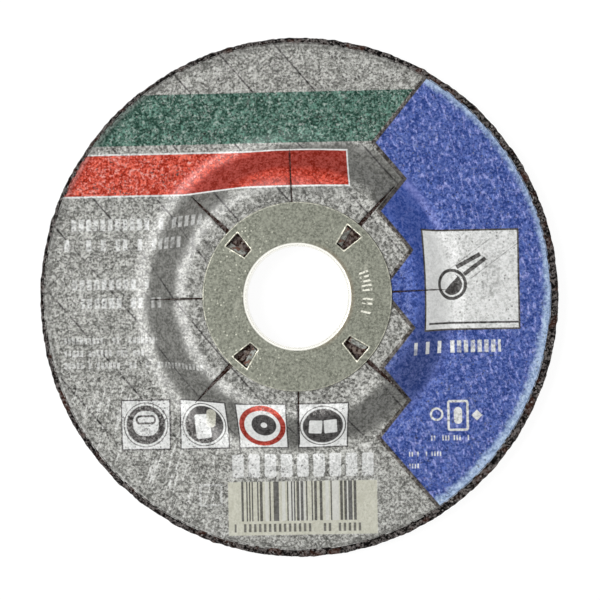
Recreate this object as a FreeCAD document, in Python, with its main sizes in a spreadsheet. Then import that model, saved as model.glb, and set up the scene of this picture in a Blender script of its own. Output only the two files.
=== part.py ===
import FreeCAD, Part
import math
import os

import Sketcher

# A depressed-centre grinding disc, lying with its raised hub up. Millimetres and degrees.
# The origin is on the disc's axis, in the plane of the rim's underside, with +Z up.

# Driving sizes: alias, value, meaning.
SIZES = (
    ("disc_diameter", 115.0, "outside diameter of the moulded disc"),
    ("rim_thickness", 6.0, "thickness of the flat rim, and of the hub's web"),
    ("hub_rise", 4.6, "height of the hub above the rim, and depth of the recess behind it"),
    ("hub_ledge", 5.95, "flat of the hub outside the flange, to the corner with the slope"),
    ("slope_run", 7.15, "horizontal run of the slope between hub and rim"),
    ("recess_inset", 1.7, "from the hub's corner in to the corner of the recess floor"),
    ("hub_edge_radius", 6.5, "rounding at the top of the slope"),
    ("hub_foot_radius", 10.0, "rounding at the foot of the slope"),
    ("recess_corner_radius", 2.0, "rounding inside the recess"),
    ("recess_mouth_radius", 2.4, "rounding at the mouth of the recess"),
    ("rim_edge_radius", 0.4, "edge break round the rim"),
    ("bore_diameter", 22.23, "bore of the steel collar"),
    ("flange_width", 9.685, "from the bore out to the edge of the steel flange"),
    ("sheet_thickness", 0.5, "thickness of the ring's steel sheet"),
    ("bore_roll_radius", 1.0, "outer radius of the roll from flange to collar"),
    ("flange_edge_radius", 0.15, "edge break round the flange"),
    ("collar_setback", 0.8, "from the recess floor up to the collar's end"),
    ("seat_clearance", 0.05, "clearance between the ring and the abrasive"),
    ("window_count", 4, "windows in the flange"),
    ("window_angle", 49.0, "place of the first window round the axis"),
    ("window_bore_margin", 3.285, "from the bore out to a window's narrow end"),
    ("window_edge_margin", 1.7, "from a window's wide end out to the flange's edge"),
    ("window_near_width", 2.2, "width of a window's narrow end"),
    ("window_far_width", 4.0, "width of a window's wide end"),
    ("window_corner_radius", 0.3, "rounding in the corners of a window"),
    ("window_edge_radius", 0.12, "rounding of a window's upper edge, as the punch leaves it"),
    ("tab_length", 1.9, "length of the metal bent down from a window's side"),
    ("tab_angle", 50.0, "bend of a tab below the flange"),
    ("tab_end_gap", 0.35, "from a tab's ends to the ends of its window"),
    ("label_margin", 1.4, "bare rim outside the paper label"),
    ("label_overlap", 1.2, "width of label covered by the flange"),
    ("label_thickness", 0.2, "thickness of the label"),
    ("slit_angle", 2.2, "place of the first relief slit round the axis"),
    ("slit_pairs", 4, "pairs of slits, each a closed one and an open one"),
    ("slit_margin", 1.4, "from a slit's end out to the foot of the slope"),
    ("closed_slit_width", 0.25, "gap of a closed slit at the label's hole"),
    ("open_slit_width", 0.8, "gap of an open slit at the label's hole"),
    ("slit_tip_width", 0.12, "gap of a slit at its outer end"),
)

# Heights and radii that follow from the driving sizes.
HUB_TOP = "(Sizes.rim_thickness + Sizes.hub_rise)"
FLANGE_TOP = f"({HUB_TOP} + Sizes.sheet_thickness)"
HUB_PAPER_SEAT = f"({HUB_TOP} - Sizes.label_thickness)"
RIM_PAPER_SEAT = "(Sizes.rim_thickness - Sizes.label_thickness)"
COLLAR_INSIDE = "(Sizes.bore_diameter / 2)"
COLLAR_OUTSIDE = f"({COLLAR_INSIDE} + Sizes.sheet_thickness)"
COLLAR_END = "(Sizes.hub_rise + Sizes.collar_setback)"
INNER_ROLL_RADIUS = "(Sizes.bore_roll_radius - Sizes.sheet_thickness)"
ABRASIVE_BORE = f"({COLLAR_OUTSIDE} + Sizes.seat_clearance)"
FLANGE_RADIUS = f"({COLLAR_INSIDE} + Sizes.flange_width)"
WINDOW_NEAR = f"({COLLAR_INSIDE} + Sizes.window_bore_margin)"
WINDOW_FAR = f"({FLANGE_RADIUS} - Sizes.window_edge_margin)"
HUB_RADIUS = f"({FLANGE_RADIUS} + Sizes.hub_ledge)"
FOOT_RADIUS = f"({HUB_RADIUS} + Sizes.slope_run)"
RECESS_RADIUS = f"({HUB_RADIUS} - Sizes.recess_inset)"
MOUTH_RADIUS = f"({RECESS_RADIUS} + Sizes.slope_run)"
DISC_RADIUS = "(Sizes.disc_diameter / 2)"
LABEL_RADIUS = f"({DISC_RADIUS} - Sizes.label_margin)"
LABEL_BORE_RADIUS = f"({FLANGE_RADIUS} - Sizes.label_overlap)"
SLIT_END_RADIUS = f"({FOOT_RADIUS} - Sizes.slit_margin)"

# A tab is the sheet bent down by tab_angle about a window's side. Its outer bend reaches
# this far under the flange, and its tip this far below the flange's underside.
TAB_ANGLE = "(Sizes.tab_angle * 1 deg)"
TAB_BEND_REACH = f"(Sizes.sheet_thickness * tan({TAB_ANGLE} / 2))"
TAB_DEPTH = (
    f"(Sizes.tab_length * sin({TAB_ANGLE}) - Sizes.sheet_thickness * (1 - cos({TAB_ANGLE})))"
)

TOUCH = 1e-4


def make_sheet(doc):
    """The spreadsheet of driving sizes, one row each."""
    sheet = doc.addObject("Spreadsheet::Sheet", "Sizes")
    for row, (alias, value, meaning) in enumerate(SIZES, start=1):
        sheet.set(f"A{row}", meaning)
        sheet.set(f"B{row}", str(value))
        sheet.setAlias(f"B{row}", alias)
    doc.recompute()
    return sheet


def worth(doc, expression):
    """The number that an expression of the sheet's sizes gives."""
    return float(doc.getObject("Sizes").evalExpression(expression))


def make_body(doc, name, turn):
    """A named body, turned about the axis by the angle that an expression gives."""
    body = doc.addObject("PartDesign::Body", name)
    body.Label = name
    body.Placement = FreeCAD.Placement(
        FreeCAD.Vector(), FreeCAD.Rotation(FreeCAD.Vector(0, 0, 1), worth(doc, turn))
    )
    body.setExpression("Placement.Rotation.Angle", turn)
    return body


def origin_feature(body, role):
    """One of the body's own origin planes or axes."""
    return next(part for part in body.Origin.OriginFeatures if part.Role == role)


def pin_corner(sketch, doc, index, kind, expression):
    """Holds the start of line index at an expression's distance from the sketch's origin."""
    distance = worth(doc, expression)
    if abs(distance) < TOUCH:
        axis = -2 if kind == "DistanceX" else -1
        sketch.addConstraint(Sketcher.Constraint("PointOnObject", index, 1, axis))
        return
    if distance > 0:
        number = sketch.addConstraint(Sketcher.Constraint(kind, -1, 1, index, 1, distance))
        sketch.setExpression(f"Constraints[{number}]", expression)
    else:
        number = sketch.addConstraint(Sketcher.Constraint(kind, index, 1, -1, 1, -distance))
        sketch.setExpression(f"Constraints[{number}]", f"-({expression})")


def make_outline(body, name, plane, corners, height="0"):
    """A closed sketch of straight lines on an origin plane, moved along its normal by height.

    Each corner is a pair of expressions, its distances from the origin.
    """
    doc = body.Document
    sketch = body.newObject("Sketcher::SketchObject", name)
    sketch.AttachmentSupport = (origin_feature(body, plane), [""])
    sketch.MapMode = "FlatFace"
    if height != "0":
        sketch.setExpression("AttachmentOffset.Base.z", height)
    points = [FreeCAD.Vector(worth(doc, x), worth(doc, y), 0) for x, y in corners]
    count = len(points)
    for index, point in enumerate(points):
        sketch.addGeometry(Part.LineSegment(point, points[(index + 1) % count]), False)
    for index in range(count):
        sketch.addConstraint(
            Sketcher.Constraint("Coincident", index, 2, (index + 1) % count, 1)
        )
    for index, (across, up) in enumerate(corners):
        pin_corner(sketch, doc, index, "DistanceX", across)
        pin_corner(sketch, doc, index, "DistanceY", up)
    doc.recompute()
    return sketch


def revolve(body, name, corners):
    """A turned solid from its half section, given as radius and height pairs."""
    sketch = make_outline(body, f"{name}_section", "XZ_Plane", corners)
    turned = body.newObject("PartDesign::Revolution", name)
    turned.Profile = sketch
    turned.ReferenceAxis = (sketch, ["V_Axis"])
    turned.Angle = 360
    body.Document.recompute()
    return turned


def circle_edges(body, circles):
    """Names of the tip's edges that are circles about the axis, by radius and height."""
    doc = body.Document
    wanted = [(worth(doc, radius), worth(doc, height)) for radius, height in circles]
    names = []
    for index, edge in enumerate(body.Tip.Shape.Edges, start=1):
        curve = edge.Curve
        if not isinstance(curve, Part.Circle) or curve.Center.x ** 2 + curve.Center.y ** 2 > TOUCH:
            continue
        for radius, height in wanted:
            if abs(curve.Radius - radius) < TOUCH and abs(curve.Center.z - height) < TOUCH:
                names.append(f"Edge{index}")
    return names


def round_circles(body, name, circles, radius):
    """Rounds the circular edges at the given radii and heights."""
    names = circle_edges(body, circles)
    if len(names) != len(circles):
        raise RuntimeError(f"{name}: found {len(names)} of {len(circles)} edges")
    base = body.Tip
    rounding = body.newObject("PartDesign::Fillet", name)
    rounding.Base = (base, names)
    rounding.setExpression("Radius", radius)
    body.Tip = rounding
    body.Document.recompute()
    return rounding


def cut_through(body, name, sketch):
    """Cuts a sketch that lies below the solid right through it, upwards."""
    pocket = body.newObject("PartDesign::Pocket", name)
    pocket.Profile = sketch
    pocket.Type = "ThroughAll"
    pocket.Reversed = True
    body.Document.recompute()
    return pocket


def repeat_round(body, name, feature, count):
    """Repeats a feature evenly about the body's axis."""
    pattern = body.newObject("PartDesign::PolarPattern", name)
    pattern.Originals = [feature]
    pattern.Axis = (origin_feature(body, "Z_Axis"), [""])
    pattern.Angle = 360
    pattern.setExpression("Occurrences", count)
    body.Tip = pattern
    body.Document.recompute()
    return pattern


def window_side(radius):
    """Half the width of a window at a distance from the axis."""
    widening = "(Sizes.window_far_width - Sizes.window_near_width)"
    along = f"({radius} - {WINDOW_NEAR}) / ({WINDOW_FAR} - {WINDOW_NEAR})"
    return f"(Sizes.window_near_width / 2 + {widening} / 2 * {along})"


def make_abrasive_disc(doc):
    """The moulded disc: rim, slope, hub, recess, bore, label seat and the pits for the tabs."""
    body = make_body(doc, "abrasive_disc", "Sizes.window_angle")
    revolve(
        body,
        "moulded_disc",
        [
            (ABRASIVE_BORE, "Sizes.hub_rise"),
            (RECESS_RADIUS, "Sizes.hub_rise"),
            (MOUTH_RADIUS, "0"),
            (DISC_RADIUS, "0"),
            (DISC_RADIUS, "Sizes.rim_thickness"),
            (LABEL_RADIUS, "Sizes.rim_thickness"),
            (LABEL_RADIUS, RIM_PAPER_SEAT),
            (FOOT_RADIUS, RIM_PAPER_SEAT),
            (HUB_RADIUS, HUB_PAPER_SEAT),
            (LABEL_BORE_RADIUS, HUB_PAPER_SEAT),
            (LABEL_BORE_RADIUS, HUB_TOP),
            (ABRASIVE_BORE, HUB_TOP),
        ],
    )
    round_circles(body, "hub_edge", [(HUB_RADIUS, HUB_PAPER_SEAT)], "Sizes.hub_edge_radius")
    round_circles(body, "hub_foot", [(FOOT_RADIUS, RIM_PAPER_SEAT)], "Sizes.hub_foot_radius")
    round_circles(
        body, "recess_corner", [(RECESS_RADIUS, "Sizes.hub_rise")], "Sizes.recess_corner_radius"
    )
    round_circles(body, "recess_mouth", [(MOUTH_RADIUS, "0")], "Sizes.recess_mouth_radius")
    round_circles(
        body,
        "rim_edges",
        [(DISC_RADIUS, "0"), (DISC_RADIUS, "Sizes.rim_thickness")],
        "Sizes.rim_edge_radius",
    )
    round_circles(body, "bore_mouth", [(ABRASIVE_BORE, HUB_TOP)], INNER_ROLL_RADIUS)
    near = f"({WINDOW_NEAR} - Sizes.seat_clearance)"
    far = f"({WINDOW_FAR} + Sizes.seat_clearance)"
    bend_side = f"({TAB_BEND_REACH} + Sizes.seat_clearance)"
    sketch = make_outline(
        body,
        "pit_outline",
        "XY_Plane",
        [
            (near, f"-{window_side(near)} - Sizes.seat_clearance"),
            (far, f"-{window_side(far)} - Sizes.seat_clearance"),
            (far, f"{window_side(far)} + {bend_side}"),
            (near, f"{window_side(near)} + {bend_side}"),
        ],
        HUB_TOP,
    )
    pit = body.newObject("PartDesign::Pocket", "tab_pit")
    pit.Profile = sketch
    pit.Type = "Length"
    pit.setExpression("Length", f"{TAB_DEPTH} + Sizes.seat_clearance")
    doc.recompute()
    repeat_round(body, "tab_pits", pit, "Sizes.window_count")
    return body


def make_centre_ring(doc):
    """The pressed ring: flange, rolled edge, collar, windows and the tabs bent down from them."""
    body = make_body(doc, "centre_ring", "Sizes.window_angle")
    revolve(
        body,
        "drawn_sheet",
        [
            (COLLAR_INSIDE, COLLAR_END),
            (COLLAR_OUTSIDE, COLLAR_END),
            (COLLAR_OUTSIDE, HUB_TOP),
            (FLANGE_RADIUS, HUB_TOP),
            (FLANGE_RADIUS, FLANGE_TOP),
            (COLLAR_INSIDE, FLANGE_TOP),
        ],
    )
    round_circles(body, "inner_roll", [(COLLAR_OUTSIDE, HUB_TOP)], INNER_ROLL_RADIUS)
    round_circles(body, "outer_roll", [(COLLAR_INSIDE, FLANGE_TOP)], "Sizes.bore_roll_radius")
    round_circles(
        body,
        "flange_edge",
        [(FLANGE_RADIUS, FLANGE_TOP)],
        "Sizes.flange_edge_radius",
    )
    window = cut_through(
        body,
        "window",
        make_outline(
            body,
            "window_outline",
            "XY_Plane",
            [
                (WINDOW_NEAR, "-Sizes.window_near_width / 2"),
                (WINDOW_FAR, "-Sizes.window_far_width / 2"),
                (WINDOW_FAR, "Sizes.window_far_width / 2"),
                (WINDOW_NEAR, "Sizes.window_near_width / 2"),
            ],
        ),
    )
    repeat_round(body, "windows", window, "Sizes.window_count")
    round_window_corners(body)
    round_window_edges(body)
    tab = body.newObject("PartDesign::AdditiveLoft", "tab")
    tab.Profile = make_tab_section(body, "tab_near_end", f"({WINDOW_NEAR} + Sizes.tab_end_gap)")
    tab.Sections = [make_tab_section(body, "tab_far_end", f"({WINDOW_FAR} - Sizes.tab_end_gap)")]
    tab.Ruled = True
    doc.recompute()
    repeat_round(body, "tabs", tab, "Sizes.window_count")
    return body


def round_window_corners(body):
    """Rounds the upright edges that the windows leave in the flange."""
    names = [
        f"Edge{index}"
        for index, edge in enumerate(body.Tip.Shape.Edges, start=1)
        if isinstance(edge.Curve, Part.Line) and abs(edge.Curve.Direction.z) > 1 - TOUCH
    ]
    base = body.Tip
    rounding = body.newObject("PartDesign::Fillet", "window_corners")
    rounding.Base = (base, names)
    rounding.setExpression("Radius", "Sizes.window_corner_radius")
    body.Tip = rounding
    body.Document.recompute()


def round_window_edges(body):
    """Rounds the windows' outlines in the flange's upper face."""
    height = worth(body.Document, FLANGE_TOP)
    names = []
    for index, edge in enumerate(body.Tip.Shape.Edges, start=1):
        centre = getattr(edge.Curve, "Center", None)
        about_axis = centre is not None and math.hypot(centre.x, centre.y) < TOUCH
        level = all(abs(corner.Point.z - height) < TOUCH for corner in edge.Vertexes)
        if level and not about_axis:
            names.append(f"Edge{index}")
    base = body.Tip
    rounding = body.newObject("PartDesign::Fillet", "window_edges")
    rounding.Base = (base, names)
    rounding.setExpression("Radius", "Sizes.window_edge_radius")
    body.Tip = rounding
    body.Document.recompute()


def make_tab_section(body, name, radius):
    """A tab's section at a distance from the axis: the sheet bent down from the window's side."""
    side = window_side(radius)
    thick = "Sizes.sheet_thickness"
    reach = f"(Sizes.tab_length * cos({TAB_ANGLE}))"
    drop = f"(Sizes.tab_length * sin({TAB_ANGLE}))"
    return make_outline(
        body,
        name,
        "YZ_Plane",
        [
            (side, FLANGE_TOP),
            (f"{side} - {reach}", f"{FLANGE_TOP} - {drop}"),
            (
                f"{side} - {reach} + {thick} * sin({TAB_ANGLE})",
                f"{FLANGE_TOP} - {drop} - {thick} * cos({TAB_ANGLE})",
            ),
            (f"{side} + {TAB_BEND_REACH}", HUB_TOP),
            (f"{side} + {TAB_BEND_REACH}", FLANGE_TOP),
        ],
        radius,
    )


def make_label(doc):
    """The paper ring over hub, slope and rim, with closed and open relief slits by turns."""
    body = make_body(doc, "label", "Sizes.slit_angle")
    revolve(
        body,
        "paper",
        [
            (LABEL_BORE_RADIUS, HUB_PAPER_SEAT),
            (HUB_RADIUS, HUB_PAPER_SEAT),
            (FOOT_RADIUS, RIM_PAPER_SEAT),
            (LABEL_RADIUS, RIM_PAPER_SEAT),
            (LABEL_RADIUS, "Sizes.rim_thickness"),
            (FOOT_RADIUS, "Sizes.rim_thickness"),
            (HUB_RADIUS, HUB_TOP),
            (LABEL_BORE_RADIUS, HUB_TOP),
        ],
    )
    round_circles(body, "under_edge", [(HUB_RADIUS, HUB_PAPER_SEAT)], "Sizes.hub_edge_radius")
    round_circles(
        body,
        "over_foot",
        [(FOOT_RADIUS, "Sizes.rim_thickness")],
        "Sizes.hub_foot_radius - Sizes.label_thickness",
    )
    round_circles(
        body,
        "over_edge",
        [(HUB_RADIUS, HUB_TOP)],
        "Sizes.hub_edge_radius + Sizes.label_thickness",
    )
    round_circles(body, "under_foot", [(FOOT_RADIUS, RIM_PAPER_SEAT)], "Sizes.hub_foot_radius")
    cut_slits(body, "closed_slit", "Sizes.closed_slit_width", "0")
    cut_slits(body, "open_slit", "Sizes.open_slit_width", "180 / Sizes.slit_pairs")
    return body


def cut_slits(body, name, width, turn):
    """Cuts one family of slits, from inside the label's hole out to the circle they end on."""
    doc = body.Document
    # Past the hole's edge a slit keeps its width, so that nothing is left of the paper there.
    start = f"({LABEL_BORE_RADIUS} - {width})"
    sketch = make_outline(
        body,
        f"{name}_outline",
        "XY_Plane",
        [
            (start, f"-{width} / 2"),
            (SLIT_END_RADIUS, "-Sizes.slit_tip_width / 2"),
            (SLIT_END_RADIUS, "Sizes.slit_tip_width / 2"),
            (start, f"{width} / 2"),
        ],
    )
    sketch.AttachmentOffset = FreeCAD.Placement(
        FreeCAD.Vector(), FreeCAD.Rotation(FreeCAD.Vector(0, 0, 1), worth(doc, turn))
    )
    if turn != "0":
        sketch.setExpression("AttachmentOffset.Rotation.Angle", turn)
    doc.recompute()
    slit = cut_through(body, name, sketch)
    repeat_round(body, f"{name}s", slit, "Sizes.slit_pairs")


def check_objects(doc):
    """Stops at any object that failed to compute."""
    for item in doc.Objects:
        if "Invalid" in item.State or "Error" in item.State:
            raise RuntimeError(f"{item.Name} failed: {item.State}")


def export(bodies):
    """Writes one STEP file for each piece, named after it."""
    os.makedirs("parts", exist_ok=True)
    for body in bodies:
        shape = body.Shape
        if shape.isNull() or not shape.isValid():
            raise RuntimeError(f"{body.Label} has no valid shape")
        shape.exportStep(f"parts/{body.Label}.step")
        box = shape.BoundBox
        print(
            f"{body.Label}: {len(shape.Solids)} solid, {shape.Volume:.1f} mm3,"
            f" {box.XLength:.2f} x {box.YLength:.2f} x {box.ZMin:.2f}..{box.ZMax:.2f}"
        )


def main():
    doc = FreeCAD.newDocument("grinding_disc")
    make_sheet(doc)
    bodies = [make_abrasive_disc(doc), make_centre_ring(doc), make_label(doc)]
    doc.recompute()
    check_objects(doc)
    export(bodies)


main()
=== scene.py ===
"""A depressed-centre grinding disc: its moulded abrasive, pressed steel ring and paper label.

Sizes in the classes are millimetres and degrees, the way the disc is drawn. Meshes are turned
into metres when they are made.
"""

from __future__ import annotations

import logging
import math
from collections.abc import Sequence
from dataclasses import dataclass
from enum import Enum
from typing import ClassVar

import bpy
import numpy as np
from mathutils import Matrix, Vector

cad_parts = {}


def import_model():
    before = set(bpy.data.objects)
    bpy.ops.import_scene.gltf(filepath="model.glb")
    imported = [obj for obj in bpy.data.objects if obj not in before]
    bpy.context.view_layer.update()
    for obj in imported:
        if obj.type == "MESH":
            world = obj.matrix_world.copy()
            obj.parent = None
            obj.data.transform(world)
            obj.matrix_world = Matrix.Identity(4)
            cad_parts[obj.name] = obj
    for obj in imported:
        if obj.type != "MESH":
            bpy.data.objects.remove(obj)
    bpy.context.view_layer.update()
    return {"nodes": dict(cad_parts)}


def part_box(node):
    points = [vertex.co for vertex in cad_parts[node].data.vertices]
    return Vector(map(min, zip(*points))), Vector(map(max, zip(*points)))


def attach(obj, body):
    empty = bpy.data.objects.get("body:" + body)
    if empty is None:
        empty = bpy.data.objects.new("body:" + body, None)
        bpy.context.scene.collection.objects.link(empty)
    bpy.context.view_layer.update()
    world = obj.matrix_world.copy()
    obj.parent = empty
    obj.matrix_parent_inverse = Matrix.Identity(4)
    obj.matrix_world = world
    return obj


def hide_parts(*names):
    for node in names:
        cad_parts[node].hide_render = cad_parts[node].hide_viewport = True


MM = 0.001
HAIR = 0.01
BODY = "root"
Socket = bpy.types.NodeSocket
Colour = tuple[float, float, float]

log = logging.getLogger("grinding_disc")


def linear(red: int, green: int, blue: int) -> Colour:
    """A display colour, 0 to 255, as the linear colour that a shader takes.

    Args:
        red: How much red it has.
        green: How much green.
        blue: How much blue.

    Returns:
        The three linear parts.
    """
    return tuple(
        part / 12.92 if part <= 0.04045 else ((part + 0.055) / 1.055) ** 2.4
        for part in (red / 255, green / 255, blue / 255)
    )


def fade(values: np.ndarray, start: float, end: float) -> np.ndarray:
    """A smooth step from 0 at start to 1 at end, which may lie the other way round."""
    share = np.clip((values - start) / (end - start), 0.0, 1.0)
    return share * share * (3.0 - 2.0 * share)


def outward_from(angles: np.ndarray) -> np.ndarray:
    """The level directions (N, 3) away from the axis at angles in radians."""
    return np.stack((np.cos(angles), np.sin(angles), np.zeros(len(angles))), axis=1)


def placed(name: str, data: bpy.types.ID) -> bpy.types.Object:
    """Puts a mesh, light or camera into the scene.

    Args:
        name: The object's name.
        data: The mesh, light or camera.

    Returns:
        The object.
    """
    made = bpy.data.objects.new(name, data)
    bpy.context.scene.collection.objects.link(made)
    return made


@dataclass(frozen=True)
class DiscForm:
    """The disc's sizes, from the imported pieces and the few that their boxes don't show."""

    disc_radius: float
    hub_top: float
    label_radius: float
    flange_radius: float
    flange_top: float
    rim_top: float = 6.0
    bore_radius: float = 11.665
    hub_ledge: float = 5.95
    slope_run: float = 7.15
    recess_inset: float = 1.7
    hub_edge_radius: float = 6.5
    hub_foot_radius: float = 10.0
    recess_corner_radius: float = 2.0
    recess_mouth_radius: float = 2.4
    rim_edge_radius: float = 0.4
    bore_edge_radius: float = 0.5
    label_overlap: float = 1.2
    label_thickness: float = 0.2
    slit_margin: float = 1.4
    pit_near: float = 14.35
    pit_far: float = 19.15
    pit_depth: float = 1.33
    pit_angle: float = 49.0
    pit_count: int = 4
    window_near_half: float = 1.1
    window_far_half: float = 2.0
    label_drift: float = 0.42
    drift_angle: float = 150.0
    drift_from: float = 46.0
    drift_run: float = 8.0
    drift_to: float = 57.1
    drift_end_run: float = 0.9

    @classmethod
    def from_frame(cls) -> DiscForm:
        """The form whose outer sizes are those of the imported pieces.

        Returns:
            The form, in millimetres.
        """
        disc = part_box("abrasive_disc")[1] / MM
        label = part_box("label")[1] / MM
        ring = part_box("centre_ring")[1] / MM
        return cls(disc.x, disc.z, label.x, ring.x, ring.z)

    def drift(self, radius: float, angles: np.ndarray) -> np.ndarray:
        """How far the label's edge, which isn't quite centred, lies outside its circle.

        Args:
            radius: Distance from the axis.
            angles: Angles in radians.

        Returns:
            The shift at each angle, in millimetres.
        """
        rising = min(max((radius - self.drift_from) / self.drift_run, 0.0), 1.0)
        falling = min(max((self.drift_to - radius) / self.drift_end_run, 0.0), 1.0)
        return self.label_drift * rising * falling * np.cos(angles - math.radians(self.drift_angle))

    @property
    def hub_radius(self) -> float:
        """Radius of the corner between hub and slope."""
        return self.flange_radius + self.hub_ledge

    @property
    def foot_radius(self) -> float:
        """Radius of the corner between slope and rim."""
        return self.hub_radius + self.slope_run

    @property
    def hub_rise(self) -> float:
        """Height of the hub above the rim."""
        return self.hub_top - self.rim_top

    @property
    def label_bore(self) -> float:
        """Radius of the label's hole, which the flange covers."""
        return self.flange_radius - self.label_overlap

    @property
    def slit_end(self) -> float:
        """Radius at which the label's relief slits end."""
        return self.foot_radius - self.slit_margin


@dataclass(frozen=True)
class Bend:
    """A corner of a turned section, its rounding, and the row spacing on the stretch after it."""

    radius: float
    height: float
    rounding: float = 0.0
    step: float = 0.4


class Section:
    """The closed outline that a piece is turned from, as rows of points."""

    def __init__(self, bends: Sequence[Bend]) -> None:
        """Traces the outline.

        Args:
            bends: The corners, going out along the underside and back over the top.
        """
        corners = [np.array((bend.radius, bend.height)) for bend in bends]
        count = len(bends)
        entries, exits, arcs = [], [], []
        for index, bend in enumerate(bends):
            here = corners[index]
            back = corners[index - 1] - here
            ahead = corners[(index + 1) % count] - here
            back, ahead = back / np.linalg.norm(back), ahead / np.linalg.norm(ahead)
            half = math.acos(float(np.clip(back @ ahead, -1.0, 1.0))) / 2.0
            reach = bend.rounding / math.tan(half)
            entries.append(here + back * reach)
            exits.append(here + ahead * reach)
            middle = (back + ahead) / max(float(np.linalg.norm(back + ahead)), 1e-9)
            arcs.append(here + middle * (bend.rounding / math.sin(half)))
        rows = []
        for index, bend in enumerate(bends):
            rows += self._arc(arcs[index], entries[index], exits[index], bend)
            rows += self._line(exits[index], entries[(index + 1) % count], bend.step)
        self.rows = np.array(rows)
        run = np.roll(self.rows, -1, axis=0) - np.roll(self.rows, 1, axis=0)
        run /= np.linalg.norm(run, axis=1)[:, None]
        self.facing = np.stack((run[:, 1], -run[:, 0]), axis=1)

    def facing_round(self, index: int, outward: np.ndarray) -> np.ndarray:
        """The surface's directions (N, 3) round one row, from the level ones away from the axis."""
        return outward * self.facing[index, 0] + (0.0, 0.0, self.facing[index, 1])

    @staticmethod
    def _arc(centre: np.ndarray, start: np.ndarray, end: np.ndarray, bend: Bend) -> list:
        """Points round one corner, without the last.

        Args:
            centre: Middle of the rounding.
            start: Where it begins.
            end: Where it ends.
            bend: The corner.

        Returns:
            The points, in order.
        """
        if bend.rounding == 0.0:
            return []
        first = math.atan2(*(start - centre)[::-1])
        turn = math.atan2(*(end - centre)[::-1]) - first
        turn = (turn + math.pi) % (2.0 * math.pi) - math.pi
        count = max(3, math.ceil(abs(turn) * bend.rounding / bend.step))
        angles = first + turn * np.arange(count) / count
        around = np.stack((np.cos(angles), np.sin(angles)), axis=1)
        return list(centre + bend.rounding * around)

    @staticmethod
    def _line(start: np.ndarray, end: np.ndarray, step: float) -> list:
        """Points along one stretch, without the last."""
        count = max(1, math.ceil(float(np.linalg.norm(end - start)) / step))
        return [start + (end - start) * index / count for index in range(count)]


class GrainField:
    """Coarse grain packed at random: how far the nearest grain stands up at any point."""

    REACH: ClassVar[float] = 62.0
    DEPTH: ClassVar[float] = 14.0
    LOWEST: ClassVar[float] = 0.35
    SPREAD: ClassVar[float] = 1.15

    def __init__(self, size: float, seed: int) -> None:
        """Scatters one grain in each cell of a block round the disc.

        Args:
            size: Spacing of the grains.
            seed: Start of the random numbers.
        """
        self.size = size
        across = math.ceil(2.0 * self.REACH / size) + 2
        up = math.ceil(self.DEPTH / size) + 4
        drawn = np.random.default_rng(seed)
        self.places = drawn.random((across, across, up, 3))
        self.heights = self.LOWEST + (1.0 - self.LOWEST) * drawn.random((across, across, up))

    def height(self, points: np.ndarray) -> np.ndarray:
        """Height of the grain, 0 to 1, at points (N, 3).

        Args:
            points: Points in millimetres.

        Returns:
            The height at each point.
        """
        moved = (points + (self.REACH, self.REACH, 2.0 * self.size)) / self.size
        cell = np.floor(moved).astype(int)
        found = np.zeros(len(points))
        limit = np.array(self.heights.shape) - 1
        for step in np.ndindex(3, 3, 3):
            near = np.clip(cell + step - 1, 0, limit)
            index = tuple(near.T)
            away = np.linalg.norm(near + self.places[index] - moved, axis=1)
            found = np.maximum(found, self.heights[index] * (1.0 - (away / self.SPREAD) ** 2))
        return found


class Weaver:
    """Gathers the points and triangles of one closed mesh."""

    def __init__(self) -> None:
        """Starts with nothing."""
        self.points: list[np.ndarray] = []
        self.triangles: list[np.ndarray] = []
        self.relief: list[np.ndarray] = []
        self.count = 0

    def add(self, points: np.ndarray, relief: np.ndarray) -> np.ndarray:
        """Adds points (N, 3) with their relief, 0 in a pit to 1 on a grain's tip.

        Args:
            points: The points, in millimetres.
            relief: Their relief (N).

        Returns:
            The points' numbers.
        """
        self.points.append(points)
        self.relief.append(relief)
        self.count += len(points)
        return np.arange(self.count - len(points), self.count)

    def strip(self, first: np.ndarray, second: np.ndarray) -> None:
        """Joins two chains of points with triangles, however many points each has.

        Args:
            first: Numbers of the points on one side.
            second: Those on the other side.
        """
        first_times = (np.arange(len(first) - 1) + 0.5) / (len(first) - 1)
        second_times = (np.arange(len(second) - 1) + 0.5) / (len(second) - 1)
        across = second[np.searchsorted(second_times, first_times, side="left")]
        back = first[np.searchsorted(first_times, second_times, side="right")]
        self.triangles.append(np.stack((first[:-1], first[1:], across), axis=1))
        self.triangles.append(np.stack((second[1:], second[:-1], back), axis=1))

    def make(self, name: str) -> bpy.types.Object:
        """The finished mesh as an object, in metres, smooth, with its relief kept on it.

        Args:
            name: The object's name.

        Returns:
            The object, placed in the scene.
        """
        mesh = bpy.data.meshes.new(name)
        points = np.concatenate(self.points) * MM
        mesh.from_pydata(points.tolist(), [], np.concatenate(self.triangles).tolist())
        kept = mesh.attributes.new("relief", "FLOAT", "POINT")
        kept.data.foreach_set("value", np.concatenate(self.relief).astype(np.float32))
        mesh.shade_smooth()
        return placed(name, mesh)


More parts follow.
